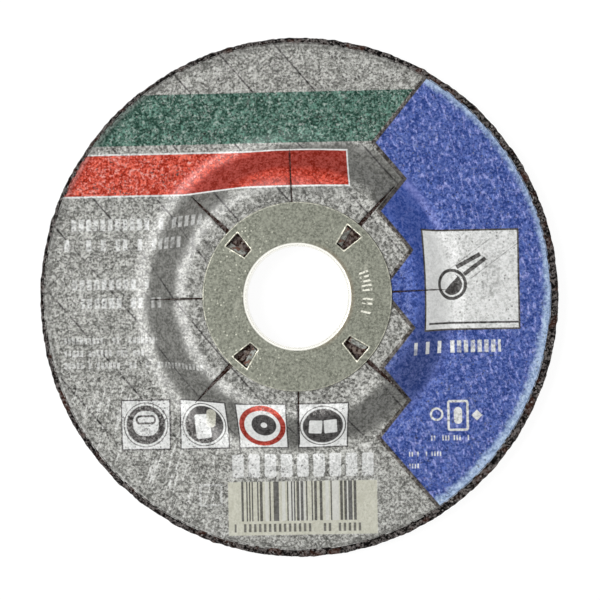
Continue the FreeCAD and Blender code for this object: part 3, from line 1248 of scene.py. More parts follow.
@dataclass(frozen=True)
class PrintedPaper(Finish):
    """The label's finish: its print, drawn on the flat sheet, and the grain under it."""

    form: DiscForm
    turn: float = 1.1
    hairline_normal: tuple[float, float, float] = (0.764, 0.645, 0.0)
    hairline_first: float = -30.3
    hairline_pitch: float = 10.52
    hairline_width: float = 0.32
    panel_first: tuple[float, float, float] = (-34.2, -27.6, 0.0)
    panel_pitch: float = 13.03
    block_first: tuple[float, float, float] = (-14.0, -37.1, 0.0)
    block_pitch: float = 3.58
    block_last: float = 8.0
    crease_turn: float = 17.0
    curl_turn: float = -14.0
    # The powers that pale the ink: partly worn ink, partly painted sheen on the flats.
    wear: float = 2.88
    blue_wear: float = 1.52
    pale_wear: float = 1.22
    contrast: float = 0.44
    pale_contrast: float = 0.45
    bump: float = 0.17
    slope_relief: float = 0.14
    hub_relief: float = 0.9
    hub_grit: float = 0.92
    crest_shift: float = 1.7

    BANDS: ClassVar[tuple[Box, ...]] = (
        Box(-70.0, 60.0, 34.1, 45.3, Ink.GREEN),
        Box(-70.0, 11.5, 22.8, 32.4, Ink.WHITE),
        Box(-70.0, 11.2, 23.15, 32.05, Ink.RED),
    )
    BLOCK: ClassVar[Box] = Box(-1.25, 1.25, -2.55, 2.55, Ink.WHITE, corner=0.5, share=0.9)
    GREY_MARKS: ClassVar[tuple[Box | Marks, ...]] = (
        Marks(-52.0, -18.6, 15.5, 18.0, Ink.WHITE, 1.62, 0.62, 0.25, 0.95),
        Marks(-52.0, -20.5, 11.0, 13.5, Ink.WHITE, 1.62, 0.62, 0.3, 0.95),
        Marks(-52.0, -31.0, 2.4, 4.6, Ink.WHITE, 1.62, 0.62, 0.25, 0.9),
        Marks(-48.0, -28.5, -1.7, 0.5, Ink.WHITE, 1.62, 0.62, 0.25, 0.9),
        Marks(-52.0, -31.0, -9.5, -8.2, Ink.WHITE, 0.9, 0.62, 0.25, 0.65),
        Marks(-52.0, -34.0, -12.3, -11.0, Ink.WHITE, 0.9, 0.62, 0.25, 0.65),
        Marks(-52.0, -19.5, -15.0, -13.7, Ink.WHITE, 0.9, 0.62, 0.25, 0.65),
        Box(-22.4, -17.8, -45.6, -41.2, Ink.WHITE, line=0.45, share=0.4),
    )
    BARS: ClassVar[tuple[Box | Marks, ...]] = (
        Box(-16.3, 16.6, -52.4, -40.6, Ink.CREAM, share=0.82),
        Marks(-13.4, 12.8, -49.3, -40.6, Ink.WHITE, 0.74, 1.14, 0.6, 0.6, False),
        Marks(-13.4, 12.8, -49.3, -40.6, Ink.BLACK, 0.3, 1.14, 0.53, 0.88, False),
        Marks(-15.0, 13.4, -51.7, -49.9, Ink.BLACK, 1.1, 0.5, 0.15, 0.8, False),
    )
    BLUE_MARKS: ClassVar[tuple[Box | Marks | Spot, ...]] = (
        Box(27.0, 48.6, -7.8, 14.0, Ink.WHITE),
        Box(40.6, 44.6, -0.6, 9.0, Ink.BLACK, share=0.2),
        Box(36.9, 50.1, 7.15, 7.35, Ink.BLACK, turn=36.0, share=0.6),
        Box(32.4, 43.4, 8.6, 8.8, Ink.BLACK, turn=36.0, share=0.5),
        Box(27.0, 48.6, -7.8, 14.0, Ink.BORDER, line=0.42),
        Box(28.0, 48.4, -6.6, -6.15, Ink.BLACK),
        Box(34.6, 40.6, 6.8, 7.75, Ink.BLACK, turn=28.0),
        Box(36.0, 42.0, 5.55, 6.45, Ink.BLACK, turn=36.0),
        Spot(33.8, 2.1, 2.35, Ink.BLACK),
        Box(30.29, 34.99, 1.76, 4.11, Ink.WHITE, turn=45.0),
        Spot(33.8, 2.1, 3.1, Ink.BLACK, line=0.72),
        Marks(24.4, 44.4, -12.9, -10.2, Ink.WHITE, 1.5, 0.6, 0.2, 0.95),
        Spot(30.0, -26.4, 1.25, Ink.WHITE, line=0.45),
        Box(32.6, 36.8, -29.9, -23.6, Ink.WHITE, line=0.5, corner=0.4),
        Box(33.8, 35.6, -28.6, -24.9, Ink.WHITE, corner=0.9),
        Box(38.0, 39.7, -27.6, -25.9, Ink.WHITE, turn=45.0),
        Marks(28.6, 37.4, -32.2, -31.1, Ink.WHITE, 0.62, 0.5, 0.25),
        Marks(23.8, 31.0, -35.6, -34.6, Ink.WHITE, 0.62, 0.5, 0.25),
        Marks(23.8, 27.4, -38.2, -37.2, Ink.WHITE, 0.62, 0.5, 0.25),
    )
    PANEL_GROUND: ClassVar[tuple[Box | Spot, ...]] = (
        Box(-5.35, 5.35, -5.45, 5.45, Ink.WHITE),
        Box(-5.35, 5.35, -5.45, 5.45, Ink.BLACK, line=0.32),
        Spot(0.0, 0.0, 4.85, Ink.BLACK, line=0.22),
        Spot(0.0, 0.0, 4.3, Ink.BLACK),
    )
    PANEL_SHAPES: ClassVar[tuple[Box | Spot, ...]] = (
        Box(-37.0, -31.4, -30.0, -24.6, Ink.WHITE, corner=2.2),
        Box(-36.2, -32.2, -27.3, -25.7, Ink.BLACK, line=0.5, corner=0.7),
        Box(-35.2, -33.2, -29.6, -28.4, Ink.BLACK, corner=0.5, share=0.7),
        Box(-23.2, -19.9, -30.8, -25.4, Ink.WHITE, corner=0.5, turn=6.0),
        Box(-20.7, -18.5, -28.4, -24.0, Ink.CREAM, corner=1.0, turn=-10.0, share=0.6),
        Spot(-8.1, -27.5, 5.2, Ink.WHITE),
        Spot(-8.1, -27.5, 4.5, Ink.RED, line=1.15),
        Spot(-7.7, -27.2, 2.7, Ink.BLACK),
        Spot(-7.7, -27.2, 0.7, Ink.WHITE),
        Box(1.9, 4.7, -29.4, -26.0, Ink.WHITE, corner=0.3, turn=-4.0),
        Box(5.1, 7.9, -29.4, -26.0, Ink.WHITE, corner=0.3, turn=4.0),
    )

    def dress(self) -> bpy.types.Material:
        """Wires the finish.

        Returns:
            The finished material.
        """
        form = self.form
        made, wiring, shader = self.begin()
        place = wiring.place()
        paper = FlatPaper.put(
            wiring,
            Place=place,
            Foot=form.foot_radius,
            Run=form.slope_run,
            Slack=math.hypot(form.slope_run, form.hub_rise) / form.slope_run - 1.0,
            Turn=math.radians(-self.turn),
        )
        flat, radius = paper["Flat"], paper["Radius"]
        gritty = self._gritty(wiring, place, radius)
        grit = CoarseGrit.put(wiring, Place=place, Relief=wiring.relief())
        field = ToothedField.put(wiring, Flat=flat)
        colour = self._print(wiring, flat, place, radius, field)
        colour = self._edge_highlight(wiring, place, radius, colour)
        times = self._wear_and_sheen(wiring, colour, field["Fill"], gritty, grit["Tone"])
        colour = InkPaling.put(wiring, Colour=colour, Times=times)["Colour"]
        colour = self._specked(wiring, place, gritty, field["Fill"], grit["Specks"], colour)
        colour = self._flecked(wiring, place, gritty, field["Fill"], grit["Tone"], colour)
        for shape in self.BARS:
            colour = shape.lay(wiring, flat, colour)
        glints = wiring.times(grit["Glints"], gritty, 0.1)
        colour = wiring.blend(glints, colour, Grit.GLINT.value)
        wiring.feed(shader.inputs["Base Color"], colour)
        coarse = self._coarse(wiring, radius)
        height = wiring.times(grit["Height"], coarse)
        wiring.feed(shader.inputs["Normal"], wiring.bump(height, self.bump))
        roughness = wiring.ramp(coarse, self.slope_relief, 1.0, 0.42, 0.38)
        wiring.feed(shader.inputs["Roughness"], roughness)
        smooth = self._rubbed_slope(wiring, place, radius, coarse)
        gloss = wiring.math("MAXIMUM", wiring.ramp(grit["Tone"], 0.1, 0.9, 0.1, 0.8), smooth)
        wiring.feed(shader.inputs["Specular IOR Level"], gloss)
        return made

    def _coarse(self, wiring: Wiring, radius: Socket) -> Socket:
        """How coarse the surface is: fully on the rim, nearly so on the hub, hardly on the slope.

        Args:
            wiring: The tree that takes the nodes.
            radius: The point's distance from the axis.

        Returns:
            The share, 0 to 1.
        """
        form = self.form
        rim = wiring.ramp(
            radius, form.foot_radius + 1.2, form.foot_radius + 4.2, self.slope_relief, 1.0
        )
        hub = wiring.ramp(
            radius, form.hub_radius - 1.8, form.hub_radius - 3.4, self.slope_relief, self.hub_relief
        )
        return wiring.math("MAXIMUM", rim, hub)

    def _rubbed_slope(
        self, wiring: Wiring, place: Socket, radius: Socket, coarse: Socket
    ) -> Socket:
        """The gloss of the smooth slope, most at its two edges and on the left.

        Args:
            wiring: The tree that takes the nodes.
            place: The shaded point, in millimetres.
            radius: The point's distance from the axis.
            coarse: How coarse the surface is, 0 to 1.

        Returns:
            The gloss, 0 to 1.
        """
        middle = (self.form.hub_radius + self.form.foot_radius) / 2.0
        off_middle = wiring.math("ABSOLUTE", wiring.math("SUBTRACT", radius, middle))
        across, _, _ = wiring.parts(place)
        edges = wiring.ramp(off_middle, 2.0, 4.2, 0.2, 0.8)
        left = wiring.ramp(across, 10.0, -16.0, 0.25, 1.0)
        return wiring.times(wiring.ramp(coarse, 1.0, self.slope_relief), edges, left)

    def _wear_and_sheen(
        self, wiring: Wiring, colour: Socket, blue: Socket, gritty: Socket, tone: Socket
    ) -> Socket:
        """How far the ink is thinned: most on the grey, less on the blue and white, and by grain. This
        is partly painted light: the flats are paled as a painted sheen, the slope keeps darker ink as a
        painted shade, and the swing by grain paints part of the relief's shading.

        Args:
            wiring: The tree that takes the nodes.
            colour: The print's colour.
            blue: Where the blue field lies, 0 to 1.
            gritty: How much the grain shows, 0 to 1.
            tone: The grain's tone, 0 to 1.

        Returns:
            The power that the bleaching takes.
        """
        middle = wiring.ramp(blue, 0.0, 1.0, self.wear, self.blue_wear)
        shine = wiring.node("RGBToBW")
        wiring.feed(shine.inputs[0], colour)
        pale = wiring.ramp(shine.outputs[0], 0.24, 0.45)
        change = wiring.times(pale, wiring.math("SUBTRACT", self.pale_wear, middle))
        middle = wiring.math("ADD", middle, change)
        shown = wiring.ramp(gritty, 0.0, 1.0, 0.4, 1.0)
        # Partly painted light: the grain's tone lightens tips and darkens pits beyond the relief's own
        # shading.
        swing = wiring.times(wiring.math("MULTIPLY_ADD", tone, 2.0, -1.0), shown)
        contrast = wiring.math("MULTIPLY_ADD", pale, self.pale_contrast, self.contrast)
        by_grain = wiring.math("POWER", wiring.math("ADD", middle, contrast), swing)
        # Painted shade: where little grain shows, as on the slope, the ink is paled less and stays
        # darker.
        thinned = wiring.math("MAXIMUM", gritty, wiring.times(blue, 0.55))
        return wiring.times(wiring.math("POWER", middle, thinned), by_grain)

    def _gritty(self, wiring: Wiring, place: Socket, radius: Socket) -> Socket:
        """How much the grain shows: all on the flats, less at the foot, hardly on the slope, and less
        at the upper right and at the top of the hub's edge; the ink stays darker where it shows less,
        partly as painted shade.

        Args:
            wiring: The tree that takes the nodes.
            place: The shaded point, in millimetres.
            radius: The point's distance from the axis.

        Returns:
            The share, 0 to 1.
        """
        form = self.form
        wander = wiring.times(wiring.math("SUBTRACT", wiring.noise(place, 0.12), 0.5), 3.0)
        across, up, _ = wiring.parts(place)
        # Less grain shows at the foot on the upper right and at the top of the hub's edge, so the ink
        # stays darker there.
        calm = wiring.ramp(up, 19.0, 26.0, 0.0, -2.6)
        calm = wiring.times(calm, wiring.ramp(across, 4.0, 12.0))
        moved = wiring.math("ADD", radius, wander)
        foot = wiring.math("ADD", moved, calm)
        rim = wiring.ramp(foot, form.foot_radius - 1.6, form.foot_radius + 0.9)
        crest = wiring.math("ADD", moved, wiring.ramp(up, 21.0, 24.0, 0.0, -self.crest_shift))
        hub = wiring.ramp(crest, form.hub_radius + 0.9, form.hub_radius - 0.9, 0.0, self.hub_grit)
        hub = wiring.times(hub, wiring.ramp(up, 21.0, 24.0, 1.0, 0.66))
        margin = wiring.ramp(radius, form.label_radius - 1.5, form.label_radius - 0.7, 1.0, 0.55)
        return wiring.times(wiring.math("MAXIMUM", rim, hub), margin)

    def _specked(
        self,
        wiring: Wiring,
        place: Socket,
        gritty: Socket,
        blue: Socket,
        specks: Socket,
        under: Socket,
    ) -> Socket:
        """Dark specks, and dark clumps that gather in places and spare most of the blue.

        Args:
            wiring: The tree that takes the nodes.
            place: The shaded point, in millimetres.
            gritty: How much the grain shows, 0 to 1.
            blue: Where the blue field lies, 0 to 1.
            specks: Where the grain's specks are, 0 to 1.
            under: The colour so far.

        Returns:
            The colour with both on it.
        """
        mask = wiring.times(specks, wiring.math("MULTIPLY_ADD", gritty, 0.5, 0.08))
        colour = wiring.blend(mask, under, Grit.DARK_SPECK.value)
        gathered = wiring.ramp(wiring.noise(place, 0.32, 1.0), 0.46, 0.66, 0.0, 0.8)
        clumps = wiring.times(gathered, wiring.ramp(wiring.noise(place, 1.9), 0.57, 0.64))
        _, up, _ = wiring.parts(place)
        spared = wiring.times(blue, wiring.ramp(up, -14.0, -24.0, 1.0, 0.25))
        clumps = wiring.times(clumps, wiring.math("SUBTRACT", gritty, spared))
        return wiring.blend(clumps, colour, Grit.CLUMP.value)

    def _flecked(
        self,
        wiring: Wiring,
        place: Socket,
        gritty: Socket,
        blue: Socket,
        tone: Socket,
        under: Socket,
    ) -> Socket:
        """Pale flecks where the grain's tips have come through the ink, fewer on the blue.

        Args:
            wiring: The tree that takes the nodes.
            place: The shaded point, in millimetres.
            gritty: How much the grain shows, 0 to 1.
            blue: Where the blue field lies, 0 to 1.
            tone: The grain's tone, 0 to 1.
            under: The colour so far.

        Returns:
            The colour with the flecks on it.
        """
        flecks = wiring.ramp(wiring.noise(place, 1.3, 3.0, 0.65), 0.48, 0.66, 0.04, 0.38)
        flecks = wiring.times(flecks, wiring.ramp(tone, 0.35, 0.75))
        spared = wiring.math("MULTIPLY_ADD", blue, -0.65, 1.0)
        mask = wiring.times(flecks, spared, wiring.math("POWER", gritty, 3.0))
        return wiring.blend(mask, under, Grit.FLECK.value)

    def _creased(self, wiring: Wiring, place: Socket, radius: Socket, under: Socket) -> Socket:
        """Pale streaks at the lower left, where the paper is creased and rubbed.

        Args:
            wiring: The tree that takes the nodes.
            place: The shaded point, in millimetres.
            radius: The point's distance from the axis.
            under: The colour so far.

        Returns:
            The colour with the streaks on it.
        """
        creases = Streaks.put(
            wiring,
            Place=place,
            Turn=math.radians(self.crease_turn),
            Across=1.05,
            Along=0.1,
            Low=0.55,
            High=0.66,
        )["Mask"]
        across, up, _ = wiring.parts(place)
        left = wiring.ramp(across, -6.0, -20.0)
        low = wiring.ramp(up, -12.0, -28.0, 0.12, 1.0)
        rim = wiring.ramp(radius, self.form.foot_radius - 1.0, self.form.foot_radius + 1.5)
        mask = wiring.times(creases, left, low, rim, 0.6)
        return wiring.blend(mask, under, Ink.PALE.value)

    def _edge_highlight(self, wiring: Wiring, place: Socket, radius: Socket, under: Socket) -> Socket:
        """A pale band along the sheet's edge, a painted highlight where it rolls over the rim's
        shoulder, plainest low on the disc.

        Args:
            wiring: The tree that takes the nodes.
            place: The shaded point, in millimetres.
            radius: The point's distance from the axis.
            under: The colour so far.

        Returns:
            The colour with the edge on it.
        """
        _, up, _ = wiring.parts(place)
        # Painted highlight along the label's edge.
        edge = wiring.ramp(radius, self.form.label_radius - 0.9, self.form.label_radius - 0.3)
        edge = wiring.times(edge, wiring.ramp(up, 6.0, -24.0, 0.1, 0.45))
        return wiring.blend(edge, under, Ink.PALE.value)

    def _print(
        self, wiring: Wiring, flat: Socket, place: Socket, radius: Socket, field: dict[str, Socket]
    ) -> Socket:
        """The print, from the sheet's ground up.

        Args:
            wiring: The tree that takes the nodes.
            flat: The point on the sheet laid flat, in millimetres.
            place: The shaded point, in millimetres.
            radius: The point's distance from the axis.
            field: The blue field's fill and edge.

        Returns:
            The print's colour.
        """
        colour = self._creased(wiring, place, radius, self._hairlines(wiring, flat))
        marked = colour
        for shape in self.GREY_MARKS:
            marked = shape.lay(wiring, flat, marked)
        foot = self.form.foot_radius
        kept = wiring.ramp(radius, foot - 1.0, foot + 2.0, 0.5, 1.0)
        colour = wiring.blend(kept, colour, marked)
        row = RepeatedAlong.put(
            wiring,
            Flat=flat,
            First=self.block_first,
            Pitch=self.block_pitch,
            Last=self.block_last,
        )["Local"]
        colour = self.BLOCK.lay(wiring, row, colour)
        for band in self.BANDS:
            colour = band.lay(wiring, flat, colour)
        colour = self._panels(wiring, flat, colour)
        colour = wiring.blend(field["Fill"], colour, self._blue(wiring, place, radius))
        colour = wiring.blend(field["Edge"], colour, Ink.BORDER.value)
        for shape in self.BLUE_MARKS:
            colour = shape.lay(wiring, flat, colour)
        return colour

    def _hairlines(self, wiring: Wiring, flat: Socket) -> Socket:
        """The grey ground with its evenly spaced slanting hairlines, rubbed off in places.

        Args:
            wiring: The tree that takes the nodes.
            flat: The point on the sheet laid flat, in millimetres.

        Returns:
            The ground's colour.
        """
        along = wiring.vector("DOT_PRODUCT", flat, self.hairline_normal)
        moved = wiring.math("SUBTRACT", along, self.hairline_first)
        steps = wiring.math("DIVIDE", moved, self.hairline_pitch)
        beside = wiring.math("ABSOLUTE", wiring.math("SUBTRACT", steps, wiring.math("ROUND", steps)))
        half = self.hairline_width / 2.0 / self.hairline_pitch
        line = wiring.ramp(beside, half * 0.6, half * 1.7, 1.0, 0.0)
        kept = wiring.ramp(wiring.noise(flat, 0.13, 1.0), 0.46, 0.54, 1.0, 0.55)
        across, up, _ = wiring.parts(flat)
        whole = wiring.math("SUBTRACT", wiring.ramp(across, 9.0, 5.0, 0.1, 1.0), kept)
        kept = wiring.math("MULTIPLY_ADD", wiring.ramp(up, 38.0, 44.0), whole, kept)
        kept = wiring.times(kept, wiring.ramp(up, -26.0, -36.0, 1.0, 0.4))
        return wiring.blend(wiring.times(line, kept), Ink.GREY.value, Ink.HAIRLINE.value)

    def _blue(self, wiring: Wiring, place: Socket, radius: Socket) -> Socket:
        """The blue field, worn paler in curling streaks and along the rim, with a painted highlight
        along the foot and painted shade on the lower slope.

        Args:
            wiring: The tree that takes the nodes.
            place: The shaded point, in millimetres.
            radius: The point's distance from the axis.

        Returns:
            The field's colour.
        """
        foot, edge = self.form.foot_radius, self.form.label_radius
        curls = Streaks.put(
            wiring,
            Place=place,
            Turn=math.radians(self.curl_turn),
            Across=1.35,
            Along=0.6,
            Low=0.52,
            High=0.66,
        )["Mask"]
        worn = wiring.times(curls, wiring.ramp(radius, foot + 1.0, foot + 5.0, 0.15, 0.7))
        _, up, _ = wiring.parts(place)
        # Painted highlight: a pale lavender line along the slope's foot, strongest on the upper side,
        # joined with the worn streaks.
        off_foot = wiring.math("ABSOLUTE", wiring.math("SUBTRACT", radius, foot + 0.6))
        crest = wiring.ramp(off_foot, 1.5, 0.1, 0.0, 0.4)
        crest = wiring.times(crest, wiring.ramp(up, -12.0, 4.0, 0.25, 1.0))
        worn = wiring.math("MAXIMUM", worn, crest)
        # Painted shade: the blue darkens on the slope's lower half, which faces away from the lamp.
        painted_shade = wiring.ramp(radius, foot + 2.5, foot - 1.0)
        painted_shade = wiring.times(painted_shade, wiring.ramp(up, 2.0, -12.0))
        colour = wiring.blend(painted_shade, Ink.BLUE.value, Ink.SHADED_BLUE.value)
        colour = wiring.blend(worn, colour, Ink.LAVENDER_WEAR_AND_SHEEN.value)
        ragged = wiring.math("MULTIPLY_ADD", wiring.noise(place, 0.8, 3.0, 0.6), 2.4, radius)
        ragged = wiring.math("ADD", ragged, wiring.ramp(up, 14.0, -10.0, 0.0, 0.9))
        rubbed = wiring.ramp(ragged, edge - 1.0, edge + 0.9, 0.0, 0.85)
        return wiring.blend(rubbed, colour, Ink.WORN_BLUE.value)

    def _panels(self, wiring: Wiring, flat: Socket, under: Socket) -> Socket:
        """The row of four square panels, each with a round dark ground and plain shapes on it.

        Args:
            wiring: The tree that takes the nodes.
            flat: The point on the sheet laid flat, in millimetres.
            under: The colour so far.

        Returns:
            The colour with the panels on it.
        """
        local = RepeatedAlong.put(
            wiring, Flat=flat, First=self.panel_first, Pitch=self.panel_pitch
        )["Local"]
        colour = under
        for shape in self.PANEL_GROUND:
            colour = shape.lay(wiring, local, colour)
        for shape in self.PANEL_SHAPES:
            colour = shape.lay(wiring, flat, colour)
        return colour


@dataclass(frozen=True)
class BondedAbrasive(Finish):
    """Coarse brown-black grain in resin, with bright facets here and there."""

    form: DiscForm
    grit_scale: float = 2.0
    bump: float = 0.3

    def dress(self) -> bpy.types.Material:
        """Wires the finish.

        Returns:
            The finished material.
        """
        form = self.form
        made, wiring, shader = self.begin()
        place = wiring.place()
        grit = CoarseGrit.put(wiring, Place=place, Relief=wiring.relief(), Scale=self.grit_scale)
        across, up, _ = wiring.parts(place)
        radius = wiring.vector("LENGTH", wiring.joined(across, up))
        bare = wiring.ramp(radius, form.pit_far + 0.6, form.pit_far)
        torn = wiring.ramp(radius, form.foot_radius, form.hub_radius)
        # Partly painted light: dark hollows and pale tips paint the shading of the grain's relief.
        tone = wiring.ramp(grit["Height"], 0.5, 1.08)
        colour = wiring.blend(tone, Grit.SHADED_HOLLOW.value, Grit.TIP.value)
        rusty = wiring.ramp(wiring.noise(place, 0.4), 0.52, 0.72, 0.0, 0.5)
        rusty = wiring.math("MAXIMUM", rusty, wiring.times(torn, 0.26))
        colour = wiring.blend(rusty, colour, Grit.RUST.value)
        facets = wiring.times(wiring.ramp(wiring.noise(place, 1.1), 0.5, 0.6), bare, 0.8)
        colour = wiring.blend(facets, colour, Grit.FACET.value)
        colour = wiring.blend(wiring.times(grit["Specks"], 0.8), colour, Grit.BRIGHT_SPECK.value)
        wiring.feed(shader.inputs["Base Color"], colour)
        wiring.feed(shader.inputs["Roughness"], wiring.ramp(grit["Specks"], 0.0, 1.0, 0.66, 0.3))
        wiring.feed(shader.inputs["Specular IOR Level"], wiring.ramp(tone, 0.0, 1.0, 0.05, 0.6))
        wiring.feed(shader.inputs["Normal"], wiring.bump(grit["Height"], self.bump))
        return made


@dataclass(frozen=True)
class PressedSteel(Finish):
    """Dull plated sheet steel with a fine mottled grain, with painted highlights on its lips, edges,
    tabs and punched marks.
    """

    form: DiscForm
    rub_turn: float = 8.0
    mark_radius: float = 15.4
    mark_pitch: float = 0.98
    mark_width: float = 0.5
    row_centre: tuple[float, float, float] = (-0.3, 0.0, 0.0)
    row_half: tuple[float, float, float] = (6.3, 1.1, 0.0)
    punch_depth: float = 1.2
    bump: float = 0.06

    def dress(self) -> bpy.types.Material:
        """Wires the finish.

        Returns:
            The finished material.
        """
        made, wiring, shader = self.begin()
        place = wiring.place()
        across, up, _ = wiring.parts(place)
        radius = wiring.vector("LENGTH", wiring.joined(across, up))
        grain = wiring.noise(place, 1.7, 3.0, 0.75)
        # Painted reflection: the bore's rolled edge is painted near white.
        rolled_highlight = wiring.ramp(radius, self.form.bore_radius + 0.3, self.form.bore_radius)
        bright = wiring.math("MAXIMUM", self._edge_highlights(wiring, place, radius, grain), rolled_highlight)
        punched = self._punched(wiring, across, up, radius)
        colour = self._plated(wiring, place, grain)
        # Painted highlight: the punched marks are painted pale besides their bump.
        colour = wiring.blend(wiring.times(punched, 0.75), colour, Sheet.PUNCHED_HIGHLIGHT.value)
        # A brownish darker tint on the flange beside the bore, on its right side.
        bore_right_tint = wiring.ramp(
            radius, self.form.bore_radius + 1.3, self.form.bore_radius + 0.3, 0.0, 0.4
        )
        bore_right_tint = wiring.times(bore_right_tint, wiring.ramp(across, 1.0, 9.0))
        colour = wiring.blend(bore_right_tint, colour, Sheet.BORE_TINT.value)
        colour = self._painted_light_tabs(wiring, place, radius, grain, colour)
        # Painted highlights: lips, flange edge and rolled bore edge are painted pale, and made more
        # metallic and smoother.
        shine = wiring.blend(rolled_highlight, Sheet.LIP_HIGHLIGHT.value, Sheet.ROLL.value)
        wiring.feed(shader.inputs["Base Color"], wiring.blend(bright, colour, shine))
        wiring.feed(shader.inputs["Metallic"], wiring.ramp(bright, 0.0, 1.0, 0.4, 0.9))
        dull = wiring.math("SUBTRACT", grain, bright)
        wiring.feed(shader.inputs["Roughness"], wiring.ramp(dull, -0.5, 0.8, 0.24, 0.62))
        height = wiring.math("SUBTRACT", grain, wiring.times(punched, self.punch_depth))
        wiring.feed(shader.inputs["Normal"], wiring.bump(height, self.bump))
        return made

    def _edge_highlights(self, wiring: Wiring, place: Socket, radius: Socket, grain: Socket) -> Socket:
        """Painted highlights on the flange's edge and on the windows' lips.

        Args:
            wiring: The tree that takes the nodes.
            place: The shaded point, in millimetres.
            radius: The point's distance from the axis.
            grain: The sheet's mottled grain, round 0.5.

        Returns:
            How bright it is, 0 to 1.
        """
        form = self.form
        lips = WindowLipHighlights.put(
            wiring,
            Place=place,
            Near=form.pit_near + 0.05,
            Far=form.pit_far - 0.05,
            First=math.radians(form.pit_angle),
            Inner=form.window_near_half,
            Outer=form.window_far_half,
        )["LipHighlight"]
        _, _, out = wiring.parts(place)
        top = wiring.ramp(out, form.flange_top - 0.25, form.flange_top - 0.1)
        edge = wiring.ramp(radius, form.flange_radius - 0.34, form.flange_radius - 0.1, 0.0, 0.75)
        kept = wiring.ramp(grain, 0.3, 0.6, 0.25, 0.75)
        patches = wiring.ramp(wiring.noise(place, 0.6, 1.0), 0.4, 0.58, 0.45, 1.0)
        return wiring.times(wiring.math("MAXIMUM", lips, edge), kept, patches, top)

    def _plated(self, wiring: Wiring, place: Socket, grain: Socket) -> Socket:
        """The flange's dull colour: mottled, with painted glints, more of them on the left, and rubbed
        in streaks.

        Args:
            wiring: The tree that takes the nodes.
            place: The shaded point, in millimetres.
            grain: The sheet's mottled grain, round 0.5.

        Returns:
            The flange's colour.
        """
        colour = wiring.blend(wiring.ramp(grain, 0.3, 0.72), Sheet.SHADE.value, Sheet.PLAIN.value)
        mottle = wiring.ramp(wiring.noise(place, 0.5), 0.45, 0.7, 0.0, 0.3)
        colour = wiring.blend(mottle, colour, Sheet.PLAIN.value)
        # Painted glints: bright specks, more of them on the left, the lamp's side.
        distance, drawn = wiring.cells(place, 1.5)
        across, _, _ = wiring.parts(place)
        near = wiring.ramp(distance, 0.34, 0.16)
        left = wiring.ramp(across, 6.0, -14.0, 0.25, 0.7)
        painted_glint = wiring.times(near, wiring.ramp(drawn[0], 0.66, 0.96), left)
        colour = wiring.blend(painted_glint, colour, Sheet.PAINTED_GLINT.value)
        rubs = Streaks.put(
            wiring,
            Place=place,
            Turn=math.radians(self.rub_turn),
            Across=0.9,
            Along=0.16,
            Low=0.56,
            High=0.78,
        )["Mask"]
        return wiring.blend(wiring.times(rubs, 0.3), colour, Sheet.RUBBED.value)

    def _painted_light_tabs(
        self, wiring: Wiring, place: Socket, radius: Socket, grain: Socket, under: Socket
    ) -> Socket:
        """The tabs bent down into the windows: mottled steel with a little rust, painted pale so that
        they look lit though they lie in the windows' shade.

        Args:
            wiring: The tree that takes the nodes.
            place: The shaded point, in millimetres.
            radius: The point's distance from the axis.
            grain: The sheet's mottled grain, round 0.5.
            under: The colour so far.

        Returns:
            The colour with the tabs in it.
        """
        form = self.form
        # Painted light: the tabs are painted paler than the flange.
        bent = wiring.ramp(grain, 0.36, 0.6)
        bent = wiring.blend(bent, Sheet.TAB_SHADE.value, Sheet.TAB_PAINTED_LIGHT.value)
        rusty = wiring.ramp(wiring.noise(place, 0.8), 0.51, 0.62, 0.0, 0.85)
        bent = wiring.blend(rusty, bent, Sheet.TAB_RUST.value)
        _, _, out = wiring.parts(place)
        below = wiring.ramp(out, form.flange_top - 0.2, form.flange_top - 0.4)
        past_near = wiring.ramp(radius, form.pit_near - 0.6, form.pit_near - 0.2)
        before_far = wiring.ramp(radius, form.pit_far + 0.5, form.pit_far + 0.1)
        return wiring.blend(wiring.times(below, past_near, before_far), under, bent)

    def _punched(self, wiring: Wiring, across: Socket, up: Socket, radius: Socket) -> Socket:
        """A short curved row of plain punched marks on the flange, worn in places.

        Args:
            wiring: The tree that takes the nodes.
            across: The point's X.
            up: The point's Y.
            radius: The point's distance from the axis.

        Returns:
            Where the marks are, 0 to 1.
        """
        angle = wiring.math("ARCTAN2", up, across)
        along = wiring.joined(
            wiring.times(angle, self.mark_radius), wiring.math("SUBTRACT", radius, self.mark_radius)
        )
        marks = PrintedMarks.put(
            wiring,
            Flat=along,
            Pitch=self.mark_pitch,
            Width=self.mark_width,
            Skipped=0.25,
            Seed=4.0,
        )["Fill"]
        row = PrintedBox.put(
            wiring, Flat=along, Centre=self.row_centre, Half=self.row_half, Soft=0.25
        )["Fill"]
        return wiring.times(marks, row, wiring.ramp(wiring.noise(along, 1.1, 1.0), 0.36, 0.5))


